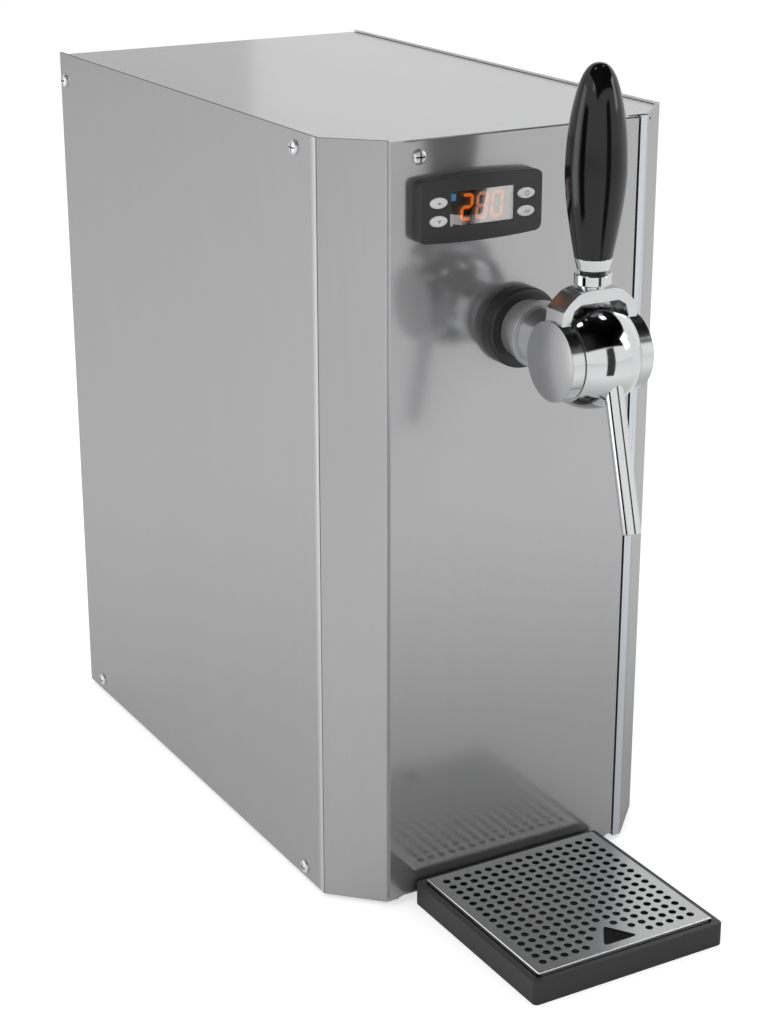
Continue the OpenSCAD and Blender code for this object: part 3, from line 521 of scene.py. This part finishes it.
def moulded_plastic(name, colour, roughness, fineness=1500.0, depth=0.01 * MM, worn=1.25, **sockets):
    """Moulded plastic or rubber with its eroded grain, wiping marks and slightly rubbed edges."""
    material, tree, shader = new_finish(name, **sockets)
    grain = effect(tree, "moulded", Fineness=fineness)
    marks = effect(tree, "handling", Size=30.0, Amount=0.7)
    wear = effect(tree, "wear", Amount=0.6)
    mottled = shade(tree, darker(colour, 0.93), grain.outputs["Tone"], darker(colour, 1.07))
    tree.links.new(shade(tree, mottled, wear.outputs["Mask"], darker(colour, worn)),
        shader.inputs["Base Color"])
    roughen(tree, shader, roughness, grain.outputs["Tone"], marks.outputs["Mask"], 0.08)
    bump(tree, shader, grain.outputs["Height"], depth)
    return material


def glowing(name, colour, strength):
    """A lit part of the display, not quite even over its face."""
    material, tree, shader = new_finish(
        name, Emission_Strength=strength, Base_Color=(*darker(colour, 0.3), 1), Roughness=0.5)
    grain = effect(tree, "moulded", Fineness=700.0)
    tree.links.new(shade(tree, darker(colour, 0.85), grain.outputs["Tone"], colour),
        shader.inputs["Emission Color"])
    return material


def smoked_window(name):
    """The display's smoked window: dark inside, with a strong mirror-like coat in front."""
    material, tree, shader = new_finish(name, Base_Color=(0.46, 0.41, 0.37, 1), Transmission_Weight=1,
        IOR=1.49, Coat_Weight=1, Coat_IOR=4.0, Coat_Roughness=0.01)
    marks = effect(tree, "handling", Size=90.0, Amount=0.5)
    tree.links.new(times(tree, marks.outputs["Mask"], 0.02), shader.inputs["Roughness"])
    return material


def finish_table():
    """Every finish under its maker, with what the maker is told."""
    look = bpy.context.scene
    case, controller, tap = look.dispenser_case, look.dispenser_controller, look.dispenser_tap
    highlight_start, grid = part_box("right_post")[0].x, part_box("drip_grid")[0]
    cover_start, case_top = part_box("left_cover")[0].y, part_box("left_cover")[1].z
    # A pale bluish strip along the right post's front: painted highlight.
    painted_highlight = (0, highlight_start - MM, highlight_start + 4.7 * MM, 0.3 * MM, tuple(case.painted_highlight))
    # A dark band along the sheets' top cut edges: painted shade.
    shaded_top_edge = (2, case_top - 0.15 * MM, case_top + MM, 0.04 * MM, darker(case.steel, 0.35))
    lit_top = (2, case_top - 1.6 * MM, case_top + MM, 0.04 * MM, (0.95, 0.95, 0.96))
    # A lighter strip on the left cover beside its front seam: painted highlight.
    highlight_near_seam = (1, cover_start - MM, cover_start + 3.5 * MM, 2 * MM, darker(case.steel, 1.55))
    # Near-white strips along the grid's front and left rims: painted highlights.
    rim_highlights = [(1, grid.y - MM, grid.y + 0.7 * MM, 0.1 * MM, (0.95, 0.95, 0.95)),
        (0, grid.x - MM, grid.x + 0.4 * MM, 0.1 * MM, (0.95, 0.95, 0.95))]
    return {
        case_sheet: {
            "case_steel": dict(strips=[shaded_top_edge]),
            # The top's sheet is drawn 1.38 times lighter than the sides: painted light.
            "case_steel_top": dict(stretch=LENGTHWAYS, tone=1.38),
            "post_steel": dict(strips=[painted_highlight]),
            "left_cover_steel": dict(strips=[highlight_near_seam, shaded_top_edge]),
            "right_cover_steel": dict(strips=[lit_top])},
        satin_steel: {
            "zinc_sheet": dict(colour=(0.42, 0.43, 0.45), roughness=0.34, fineness=240.0, contrast=0.12),
            "screw_steel": dict(colour=(0.86, 0.86, 0.87), roughness=0.36, fineness=1400.0),
            # Painted shade for the screws' crosses.
            "screw_recess": dict(colour=(0.05, 0.05, 0.055), roughness=0.5, fineness=1400.0),
            "grid_steel": dict(colour=(0.5, 0.505, 0.505), roughness=0.24, stretch=SIDEWAYS, fineness=1100.0,
                contrast=0.1, strips=rim_highlights),
            "block_aluminium": dict(colour=(0.6, 0.61, 0.62), roughness=0.45, fineness=300.0)},
        polished_metal: {
            "tap_chrome": dict(colour=tuple(tap.chrome), roughness=0.08),
            "yoke_chrome": dict(colour=tuple(tap.chrome), roughness=0.17, cap_colour=darker(tap.satin, 1.25)),
            "collar_satin": dict(colour=darker(tap.satin, 1.4), roughness=0.3, metallic=0.6),
            "brass": dict(colour=(0.72, 0.52, 0.24), roughness=0.2)},
        moulded_plastic: {
            "foot_rubber": dict(colour=(0.03, 0.03, 0.03), roughness=0.75, fineness=900.0),
            "controller_black": dict(colour=(0.036, 0.036, 0.037), roughness=0.42, fineness=2200.0),
            "display_white": dict(colour=(0.3, 0.3, 0.29), roughness=0.5),
            "board_green": dict(colour=(0.04, 0.2, 0.09), roughness=0.35),
            "clip_orange": dict(colour=(0.8, 0.3, 0.06), roughness=0.4),
            "button_grey": dict(colour=(0.96, 0.96, 0.955), roughness=0.45, fineness=2600.0, worn=0.95),
            "button_mark": dict(colour=(0.33, 0.33, 0.34), roughness=0.5, fineness=2600.0),
            "rosette_black": dict(colour=(0.018, 0.018, 0.019), roughness=0.36, fineness=1800.0),
            "handle_black": dict(colour=tuple(tap.handle), roughness=0.09, fineness=500.0, depth=0.001 * MM,
                IOR=1.46),
            "tray_black": dict(colour=(0.035, 0.035, 0.037), roughness=0.4, fineness=1700.0, depth=0.02 * MM),
            "terminal_beige": dict(colour=(0.78, 0.72, 0.58), roughness=0.45),
            "hose_clear": dict(colour=(0.82, 0.82, 0.8), roughness=0.35, fineness=400.0),
            "rocker_red": dict(colour=(0.6, 0.03, 0.02), roughness=0.22, fineness=800.0, depth=0.002 * MM,
                Coat_Weight=0.5, Coat_Roughness=0.05),
            "wire_brown": dict(colour=(0.2, 0.09, 0.05), roughness=0.45),
            "wire_grey": dict(colour=(0.35, 0.35, 0.35), roughness=0.45)},
        glowing: {
            "digit_glow": dict(colour=tuple(controller.glow), strength=1.4),
            # The digits' own glow, made paler by a painted reflection.
            "faint_glow": dict(colour=(1.0, 0.45, 0.3), strength=0.85),
            "lamp_glow": dict(colour=tuple(controller.lamp), strength=0.9)},
        smoked_window: {
            "window_tint": {}},
    }


finishes = {}


def finish_of(name):
    if name not in finishes:
        maker, table = next(row for row in finish_table().items() if name in row[1])
        finishes[name] = maker(name, **table[name])
    return finishes[name]


# The case
class DISPENSER_OT_inner_parts(bpy.types.Operator):
    """Give every part that stays as it was packed its own finish"""
    bl_idname = "dispenser.inner_parts"
    bl_label = "Inner parts"

    def execute(self, context):
        for node, obj in frame["nodes"].items():
            obj.data.materials.clear()
            obj.data.materials.append(finish_of(SLOT_OF[node]))
        return {"FINISHED"}


SHEET_FINISHES = {"top_cover": "case_steel_top", "right_post": "post_steel", "left_cover": "left_cover_steel",
    "right_cover": "right_cover_steel"}


class DISPENSER_OT_covers(bpy.types.Operator):
    """Fold the side covers, top cover, posts, front panel and back panel"""
    bl_idname = "dispenser.covers"
    bl_label = "Case sheets"

    def execute(self, context):
        look = context.scene.dispenser_case
        for node in ("left_cover", "right_cover", "top_cover", "back_panel"):
            self.sheet(copy_of(node), node, look)
        for node in ("left_post", "right_post"):
            piece = copy_of(node)
            low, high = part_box(node)
            inner = high.x if node == "left_post" else low.x
            fold(piece, look.bend, lambda edge: both_ends(edge, 1, low.y)
                and abs(edge.verts[0].co.z - edge.verts[1].co.z) > 100 * MM and not both_ends(edge, 0, inner))
            self.sheet(piece, node, look)
        self.front_panel(look)
        # Dark strips that paint the shade into the case's grooves.
        self.corner_seals()
        return {"FINISHED"}

    def front_panel(self, look):
        """The panel is folded at its top, foot and right side, and its wing has cut edges."""
        piece = copy_of("front_panel")
        low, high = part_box("front_panel")
        wing_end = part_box("left_post")[1].x + 0.4 * MM
        edit(piece)
        bpy.ops.mesh.bisect(plane_co=(wing_end, 0, 0), plane_no=(1, 0, 0))

        def in_face(edge):
            return both_ends(edge, 1, low.y) and all(vertex.co.x > wing_end - NEAR for vertex in edge.verts)

        def at_foot(edge):
            return all(low.z + 0.5 * MM < vertex.co.z < low.z + 1.5 * MM for vertex in edge.verts)

        fold(piece, look.top_bend, lambda edge: in_face(edge) and both_ends(edge, 2, high.z), 5)
        fold(piece, look.bend, lambda edge: in_face(edge) and (both_ends(edge, 0, high.x) or at_foot(edge)))
        self.sheet(piece, "front_panel", look)

    def corner_seals(self):
        """Dark strips of painted shade in the grooves beside the corner posts and along the top cover, and a dark
        block of painted shade in the top cover's open corner."""
        post, lid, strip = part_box("left_post")[0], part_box("top_cover")[1].z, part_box("right_post")[0].x
        low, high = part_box("left_cover")
        outside, inside = low.x + 0.15 * MM, low.x + 1.5 * MM
        gap_shades = []
        for side in (1, -1):
            gap_shades.append(self.seal(side * outside, side * inside, low.y - 0.8 * MM, low.y, post.z,
                high.z - 0.3 * MM))
            gap_shades.append(self.seal(side * inside, side * (inside + 0.8 * MM), low.y + 2 * MM, high.y - 3 * MM,
                lid - 1.4 * MM, lid + 0.15 * MM))
        gap_shades.append(self.seal(strip, strip + 7.6 * MM, post.y + 1.6 * MM, post.y + 7.2 * MM,
            lid - 2.1 * MM, lid - 0.9 * MM))
        # The painted shade takes the feet's black rubber finish.
        finish_piece(joined(gap_shades, "corner_seals"), "foot_rubber", "case", edge=0.1 * MM)

    def seal(self, side, other_side, front, back, low, high):
        left, right = sorted((side / MM, other_side / MM))
        length = (back - front) / MM
        seal = plate("seal", [(left, 0), (right, 0), (right, length), (left, length)], (high - low) / MM)
        seal.location = (0, front, low)
        return seal

    def sheet(self, piece, node, look):
        dress(node, SHEET_FINISHES.get(node, "case_steel"), look.cut_edge, piece=piece)


def islands(node):
    """The lowest and highest corner of each separate solid of a CAD node."""
    edit(copy_of(node))
    bpy.ops.mesh.separate(type="LOOSE")
    bpy.ops.object.mode_set(mode="OBJECT")
    boxes = []
    for part in list(bpy.context.selected_objects):
        points = [vertex.co for vertex in part.data.vertices]
        boxes.append([Vector(limit(point[i] for point in points) for i in range(3)) for limit in (min, max)])
        bpy.data.objects.remove(part)
    return boxes


class DISPENSER_OT_screws(bpy.types.Operator):
    """Set a domed cross-head screw in every place that the case has one"""
    bl_idname = "dispenser.screws"
    bl_label = "Case screws"

    def execute(self, context):
        heads, shaded_floors = zip(*[self.screw(low, high) for low, high in islands("case_screws")])
        finish_piece(joined(heads, "cross_head_screws"), "screw_steel", "case",
            ["case_screws"])
        # Dark plates in the crosses: painted shade.
        finish_piece(joined(shaded_floors, "screw_recesses"), "screw_recess", "case", crisp=False)
        return {"FINISHED"}

    def screw(self, low, high):
        """A head with its cross cut in, and a dark plate of painted shade in the cross, turned out of the case's
        side.
        """
        size, middle = high - low, (low + high) / 2
        along = max(range(3), key=lambda i: min(abs(size[i] - size[j]) for j in range(3) if j != i))
        head_r = min(size[i] for i in range(3) if i != along) / 2 / MM
        head = turned("screw", softened([
            (2.2, -3.0), (2.2, -2.3), (head_r, -2.3), (head_r, -1.5, 0.4), (head_r * 0.84, -0.5, 0.6),
            (head_r * 0.42, -0.08, 0.8), (0.3, 0.0)], 4), sides=40)
        arm, half = head_r * 0.74, 0.42
        outline = []
        for x, y in ((1, 0), (0, 1), (-1, 0), (0, -1)):
            for out, aside in ((arm, -half), (arm, half), (half, half)):
                outline.append((x * out - y * aside, y * out + x * aside))
        cut = plate("cross", outline, 3)
        cut.location = (0, 0, -1.6 * MM)
        modify(head, "BOOLEAN", operation="DIFFERENCE", object=cut, solver="EXACT")
        bpy.data.objects.remove(cut)
        # The dark plate in the cross stands in for its shade: painted shade.
        floor = put(plate("recess", outline, 0.6), (0, 0, -1.3 * MM))
        place = middle.copy()
        place[along] = high[along] if middle[along] > 0 else low[along]
        outwards = {0: (0, math.copysign(math.pi / 2, middle.x), 0),
            1: (math.copysign(math.pi / 2, -middle.y), 0, 0)}[along]
        return put(head, place, outwards), put(floor, place, outwards)


class DISPENSER_OT_feet(bpy.types.Operator):
    """Round the edges of the rubber feet and the floor pan"""
    bl_idname = "dispenser.feet"
    bl_label = "Feet and floor pan"

    def execute(self, context):
        dress("rubber_feet", "foot_rubber", 0.5 * MM)
        dress("floor_pan", "zinc_sheet", context.scene.dispenser_case.cut_edge)
        return {"FINISHED"}


# The controller
class DISPENSER_OT_controller(bpy.types.Operator):
    """Shape the controller's bezel and its smoked window"""
    bl_idname = "dispenser.controller"
    bl_label = "Controller"

    def execute(self, context):
        look = context.scene.dispenser_controller
        piece = copy_of("controller_bezel")
        low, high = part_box("controller_bezel")
        crease = low.z + look.lower_zone
        edit(piece)
        bpy.ops.mesh.bisect(plane_co=(0, 0, crease), plane_no=(0, 0, 1))
        bpy.ops.object.mode_set(mode="OBJECT")
        for vertex in piece.data.vertices:
            if close_to(vertex.co.y, low.y) and vertex.co.z < crease:
                vertex.co.y += (crease - vertex.co.z) * math.tan(look.zone_slope)
        middle = (low + high) / 2
        inside_x, inside_z = 35 * MM, 13 * MM

        def on_outer_rim(edge):
            ahead = all(vertex.co.y < low.y + 1.5 * MM for vertex in edge.verts)
            if not ahead or len(edge.link_faces) != 2 or edge.calc_face_angle(0) < math.radians(60):
                return False
            away = (edge.verts[0].co + edge.verts[1].co) / 2 - middle
            return abs(away.x) > inside_x or abs(away.z) > inside_z

        fold(piece, look.edge, on_outer_rim, 5)
        dress("controller_bezel", "controller_black", 0.15 * MM, piece=piece)
        dress("controller_window", "window_tint", 0.15 * MM)
        return {"FINISHED"}


# Lit segments of each digit: top, upper right, lower right, bottom, lower left, upper left, middle
SEGMENTS = {"2": "1101101", "8": "1111111", "0": "1111110"}


class DISPENSER_OT_display(bpy.types.Operator):
    """Light the display's three digits and its square lamp"""
    bl_idname = "dispenser.display"
    bl_label = "Display"
    shown: bpy.props.StringProperty(name="Shown", description="The number on the display", default="280")
    stroke: bpy.props.FloatProperty(
        name="Stroke", description="Width of a segment in millimetres", default=1.7)
    lean: bpy.props.FloatProperty(
        name="Lean", description="How far the digits lean, sideways for each unit of height", default=0.09)

    def execute(self, context):
        look = context.scene.dispenser_controller
        bezel, glass = (sum(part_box(node), Vector()) / 2 for node in ("controller_bezel", "controller_window"))
        self.centre = Vector((bezel.x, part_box("display_module")[0].y - 0.15 * MM, glass.z))
        a, b = ((size / MM - self.stroke) / 2 for size in (look.digit_w, look.digit_h))
        ends = [((-a, b), (a, b)), ((a, b), (a, 0)), ((a, 0), (a, -b)), ((-a, -b), (a, -b)),
            ((-a, 0), (-a, -b)), ((-a, b), (-a, 0)), ((-a, 0), (a, 0))]
        first_x, lamp_x, lamp_z = -8.3, -16.4, 5.8
        for i, digit in enumerate(self.shown):
            x = first_x + i * look.digit_pitch / MM
            bars = [self.segment(x, *pair) for lit, pair in zip(SEGMENTS[digit], ends) if lit == "1"]
            # The second and third digits glow paler: real lit segments with a painted reflection over them.
            finish_piece(joined(bars, f"display_digit_{i + 1}"), "faint_glow" if i else "digit_glow", "case",
                crisp=False)
        lamp = plate("display_lamp", [(-1.4, -1.9), (1.4, -1.9), (1.4, 1.9), (-1.4, 1.9)], 0.1)
        finish_piece(self.stand(lamp, lamp_x, lamp_z), "lamp_glow", "case", edge=0.03 * MM)
        return {"FINISHED"}

    def segment(self, x, start, end):
        """A six-cornered bar from one corner of the digit to the next."""
        s, e = Vector(start), Vector(end)
        along = (e - s).normalized()
        across = Vector((-along.y, along.x)) * self.stroke / 2
        gap, tip = along * 0.12, along * self.stroke / 2
        s, e = s + gap, e - gap
        outline = [s, s + tip - across, e - tip - across, e, e - tip + across, s + tip + across]
        return self.stand(plate("segment", [(p.x + self.lean * p.y, p.y) for p in outline], 0.1), x, 0)

    def stand(self, piece, x, z):
        return put(piece, self.centre + Vector((x, 0, z)) * MM, FORWARDS)


class DISPENSER_OT_buttons(bpy.types.Operator):
    """Round the four oval buttons and print their marks"""
    bl_idname = "dispenser.buttons"
    bl_label = "Buttons"

    def execute(self, context):
        for node in ("up_button", "down_button", "set_button", "power_button"):
            dress(node, "button_grey", 0.35 * MM)
        up = [(-1.3, -0.6), (1.3, -0.6), (0, 0.9)]
        self.mark("up_button", [up])
        self.mark("down_button", [[(x, -z) for x, z in reversed(up)]])
        self.mark("set_button", [[(x, -0.9), (x + 0.5, -0.9), (x + 0.5, top), (x, top)]
            for x, top in ((-1.5, 0.1), (-0.6, 0.9), (0.3, 0.5), (1.2, 0.9))])
        ring = []
        for start in range(60, -240, -30):
            a, b = math.radians(start), math.radians(start - 30)
            corners = ((1.0, a), (1.4, a), (1.4, b), (1.0, b))
            ring.append([(r * math.cos(turn), r * math.sin(turn)) for r, turn in corners])
        self.mark("power_button", ring + [[(-0.2, 0.2), (0.2, 0.2), (0.2, 1.5), (-0.2, 1.5)]])
        return {"FINISHED"}

    def mark(self, node, outlines):
        low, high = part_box(node)
        place = ((low.x + high.x) / 2, low.y + 0.01 * MM, (low.z + high.z) / 2)
        marks = [put(plate("mark", outline, 0.05), place, FORWARDS) for outline in outlines]
        finish_piece(joined(marks, node + "_mark"), "button_mark", BODY_OF[node], crisp=False)


# The tap
class DISPENSER_OT_tap(bpy.types.Operator):
    """Turn the rosette and the collar, and polish the ball and the spout"""
    bl_idname = "dispenser.tap"
    bl_label = "Tap"

    def execute(self, context):
        edge = context.scene.dispenser_tap.edge
        depth = self.depth("tap_rosette")
        self.ring("tap_rosette", "rosette_black", [
            (9.0, 0), (22.1, 0), (22.1, depth, 2.6), (9.0, depth)], 8, 0.1 * MM)
        depth = self.depth("tap_collar")
        self.ring("tap_collar", "collar_satin", [
            (9.2, 0), (15.6, 0), (16, 0.6, 0.2), (16, depth - 4, 0.4), (18.2, depth - 4, 0.9),
            (18.2, depth, 0.9), (9.2, depth)], 6, 0)
        for node in ("tap_body", "spout_tube"):
            dress(node, "tap_chrome", edge)
        return {"FINISHED"}

    def depth(self, node):
        low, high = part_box(node)
        return (high.y - low.y) / MM

    def ring(self, node, finish, outline, steps, edge):
        """A ring that is turned forwards from the wall behind it."""
        wall = (BALL.x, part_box(node)[1].y, BALL.z)
        line = softened(outline, steps) + [Vector(outline[0])]
        dress(node, finish, edge, piece=turned(node + "_dressed", line, wall, FORWARDS, closed=True))


class DISPENSER_OT_lever(bpy.types.Operator):
    """Make the yoke, its nut and ferrule, and the polished handle"""
    bl_idname = "dispenser.lever"
    bl_label = "Lever"

    def execute(self, context):
        yoke = copy_of("tap_yoke")
        for outwards in (-1, 1):
            self.crown(yoke, outwards)
        dress("tap_yoke", "yoke_chrome", context.scene.dispenser_tap.edge, 4, yoke)
        for node in ("handle_nut", "handle_ferrule"):
            dress(node, "tap_chrome", 0.3 * MM)
        dress("handle_washer", "rosette_black", 0.2 * MM)
        low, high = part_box("tap_handle")
        outline = [(4.1, 0), (9.85, 0), (9.87, 0.1), (10.45, 3.4), (11.43, 8.5), (13.26, 18.7), (14.74, 28.7),
            (15.61, 38.7), (15.75, 43.7), (15.61, 48.7), (15.09, 58.7), (14.03, 68.5), (12.16, 78.3),
            (9.6, 87.8), (7.1, 92.7), (4.2, 95.9), (1.4, 96.65), (0.3, 96.7)]
        grown = (high.z - low.z) / MM / outline[-1][1]
        handle = turned("tap_handle_dressed", [(r, z * grown) for r, z in outline], (BALL.x, BALL.y, low.z),
            sides=48)
        modify(handle, "SUBSURF", levels=2, render_levels=2)
        finish_piece(handle, "handle_black", "lever", ["tap_handle"], crisp=False)
        return {"FINISHED"}

    def crown(self, yoke, outwards, rings=10):
        """Swells a cap's round face, ring by ring towards its middle."""
        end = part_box("tap_yoke")[(outwards + 1) // 2].x
        edit(yoke)
        choose(yoke, "faces", lambda face: close_to(face.calc_center_median().x, end))
        for ring in range(rings, 1, -1):
            bpy.ops.mesh.inset(thickness=CAP_RADIUS / rings)
            rise = CAP_CROWN * (2 * ring - 1) / rings ** 2
            bpy.ops.transform.translate(value=(outwards * rise, 0, 0))
        bpy.ops.object.mode_set(mode="OBJECT")


# The drip tray
class DISPENSER_OT_tray(bpy.types.Operator):
    """Round the tray's rim and fold the grid's edges"""
    bl_idname = "dispenser.tray"
    bl_label = "Drip tray and grid"

    def execute(self, context):
        dress("drip_tray", "tray_black", 0.6 * MM)
        grid = copy_of("drip_grid")
        low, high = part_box("drip_grid")
        sides = ((0, low.x), (0, high.x), (1, low.y), (1, high.y))
        fold(grid, 0.8 * MM, lambda edge: both_ends(edge, 2, high.z) and any(
            both_ends(edge, axis, value) for axis, value in sides))
        dress("drip_grid", "grid_steel", 0.12 * MM, 2, grid)
        return {"FINISHED"}


# The back
class DISPENSER_OT_rear_fittings(bpy.types.Operator):
    """Finish the switch, the cable gland and the hose stem on the back"""
    bl_idname = "dispenser.rear_fittings"
    bl_label = "Rear fittings"

    def execute(self, context):
        dress("switch_frame", "controller_black", 0.4 * MM)
        dress("switch_rocker", "rocker_red", 0.4 * MM)
        dress("cable_gland", "controller_black", 0.3 * MM)
        dress("hose_inlet", "brass", 0.3 * MM)
        return {"FINISHED"}


# The studio. Bright squares: name, place, size, tilt and turn in degrees
SQUARES = (
    ("bright_square_front", (0.966, -0.775, 0.807), 0.45, 67, 60),
    ("bright_square_left", (-0.307, -0.063, 1.276), 0.14, 20, -115),
    ("bright_square_right", (0.395, -0.135, 1.249), 0.14, 24, 100))
SQUARE_BRIGHTNESS = 3.5
# Cards on the floor: name, bearing in degrees from the front to the left, distance, size, brightness
STANDS = (
    ("dark_stand_front", -10, 0.6, (0.19, 0.62), 0.05),
    ("dark_stand_left", 88, 0.75, (0.27, 0.62), 0),
    ("bright_stand_left", 117, 1.0, (0.4, 0.8), 2.3),
    ("bright_stand_right", -78, 1.0, (0.5, 0.8), 0.95))
WHITE, BLACK = (1, 1, 1, 1), (0, 0, 0, 1)


def seen_directly(tree):
    """What tells the rays of the camera and through glass, and those of metal, from the ones that light."""
    path = add(tree, "LightPath").outputs
    camera_or_glass = arithmetic("MAXIMUM", tree, path["Is Camera Ray"], path["Is Transmission Ray"])
    return camera_or_glass, path["Is Glossy Ray"]


class DISPENSER_OT_studio(bpy.types.Operator):
    """Set the camera, the floor, the room and the lamps"""
    bl_idname = "dispenser.studio"
    bl_label = "Studio"

    def execute(self, context):
        look = context.scene.dispenser_studio
        context.scene.view_settings.view_transform = "Standard"
        self.camera(context, look)
        self.room(context, look)
        self.floor()
        self.lamp("key_lamp", (-1.5, -1.3, 1.9), (1.6, 1.2), look.key)
        self.lamp("top_lamp", (0.3, 0.2, 2.2), (1.8, 1.8), look.top)
        self.card("dark_ceiling", (0.1, -0.35, 1.33), (2.6, 2.4), (math.radians(14.5), 0, 0), 0)
        self.card("rear_wall", (-1.6, 3, 1.5), (6, 3.2), FORWARDS, 0.66)
        for name, place, size, tilt, turn in SQUARES:
            self.card(name, place, (size, size), (math.radians(tilt), 0, math.radians(turn)),
                SQUARE_BRIGHTNESS)
        for name, bearing, distance, size, brightness in STANDS:
            angle = math.radians(bearing)
            place = (BALL.x - distance * math.sin(angle), BALL.y - distance * math.cos(angle),
                size[1] / 2 + 0.01)
            self.card(name, place, size, (math.pi / 2, 0, -angle), brightness)
        return {"FINISHED"}

    def camera(self, context, look):
        pick()
        bpy.ops.object.camera_add(location=(-0.62593, -1.07925, 0.63922),
            rotation=(math.radians(69.902), 0, math.radians(-29.96)))
        camera = context.object
        camera.data.lens = look.lens
        camera.data.sensor_width = 36
        context.scene.camera = camera

    def room(self, context, look):
        """Even light for the object, and plain white for what the camera and metal see."""
        world = bpy.data.worlds.new("studio_room")
        context.scene.world = world
        world.use_nodes = True
        tree = world.node_tree
        tree.nodes.clear()
        seen = arithmetic("MAXIMUM", tree, *seen_directly(tree))
        light = add(tree, "Background", Color=WHITE, Strength=ramp(tree, seen, 0, 1, look.room, 1.0))
        tree.links.new(light.outputs[0], add(tree, "OutputWorld").inputs[0])

    def floor(self):
        """A white floor, which metal shows darker near the object, as painted shade, and towards the camera."""
        pick()
        bpy.ops.mesh.primitive_plane_add(size=12)
        floor = bpy.context.object
        floor.name = "studio_floor"
        material, tree, shader = new_finish("studio_floor", Base_Color=(0.82, 0.82, 0.82, 1), Roughness=0.9,
            Specular_IOR_Level=0.0, Emission_Color=WHITE)
        direct, metal = seen_directly(tree)
        place = add(tree, "TexCoord").outputs["Object"]
        away = add(tree, "VectorMath", {"operation": "LENGTH"}, _0=place).outputs["Value"]
        bearing = add(tree, "VectorMath", {"operation": "NORMALIZE"}, _0=place).outputs[0]
        facing = add(tree, "VectorMath", {"operation": "DOT_PRODUCT"}, _0=bearing, _1=(0.5, -0.866, 0))
        outwards = ramp(tree, away, 0.2, 0.75, 0.22, 0.34, "SMOOTHSTEP")
        forwards = ramp(tree, facing.outputs["Value"], 0.3, 0.8)
        further = ramp(tree, away, 0.35, 0.75, -0.2, 0.1)
        mirrored = plus(tree, outwards, times(tree, forwards, further))
        strength = plus(tree, times(tree, direct, 0.6), times(tree, metal, mirrored))
        tree.links.new(strength, shader.inputs["Emission Strength"])
        floor.data.materials.append(material)

    def lamp(self, name, place, size, power):
        """A rectangular lamp that is aimed at the object."""
        pick()
        bpy.ops.object.light_add(type="AREA", location=place)
        lamp = bpy.context.object
        lamp.name = name
        lamp.data.shape = "RECTANGLE"
        lamp.data.size, lamp.data.size_y = size
        lamp.data.energy = power
        lamp.rotation_euler = (Vector((0, 0, 0.2)) - Vector(place)).to_track_quat("-Z", "Y").to_euler()

    def card(self, name, place, size, turn, brightness):
        """A dark or bright card that only reflections show."""
        pick()
        bpy.ops.mesh.primitive_plane_add(size=1, location=place, rotation=turn)
        card = bpy.context.object
        card.name = name
        card.scale = (*size, 1)
        material = new_finish(name, Base_Color=BLACK, Specular_IOR_Level=0.0, Emission_Color=WHITE,
            Emission_Strength=brightness)[0]
        card.data.materials.append(material)
        for ray in ("camera", "diffuse", "shadow", "transmission", "volume_scatter"):
            setattr(card, "visible_" + ray, False)


class DISPENSER_PT_sidebar(bpy.types.Panel):
    """The pieces of the dispenser, in the order in which they are made"""
    bl_label = "Mulled wine dispenser"
    bl_idname = "DISPENSER_PT_sidebar"
    bl_space_type = "VIEW_3D"
    bl_region_type = "UI"
    bl_category = "Dispenser"

    def draw(self, context):
        for step in STEPS:
            self.layout.operator(step.bl_idname)


LOOKS = {"dispenser_case": CaseLook, "dispenser_controller": ControllerLook, "dispenser_tap": TapLook,
    "dispenser_studio": StudioLook}
STEPS = (DISPENSER_OT_inner_parts, DISPENSER_OT_covers, DISPENSER_OT_screws, DISPENSER_OT_feet,
    DISPENSER_OT_controller, DISPENSER_OT_display, DISPENSER_OT_buttons, DISPENSER_OT_tap,
    DISPENSER_OT_lever, DISPENSER_OT_tray, DISPENSER_OT_rear_fittings, DISPENSER_OT_studio)


def register():
    for look in LOOKS.values():
        bpy.utils.register_class(look)
    for name, look in LOOKS.items():
        setattr(bpy.types.Scene, name, bpy.props.PointerProperty(type=look))
    for step in (*STEPS, DISPENSER_PT_sidebar):
        bpy.utils.register_class(step)


def unregister():
    for step in (DISPENSER_PT_sidebar, *reversed(STEPS)):
        bpy.utils.unregister_class(step)
    for name, look in LOOKS.items():
        delattr(bpy.types.Scene, name)
        bpy.utils.unregister_class(look)


def main():
    register()
    for step in STEPS:
        group, name = step.bl_idname.split(".")
        getattr(getattr(bpy.ops, group), name)()
    bpy.context.view_layer.update()


if __name__ == "__main__":
    main()
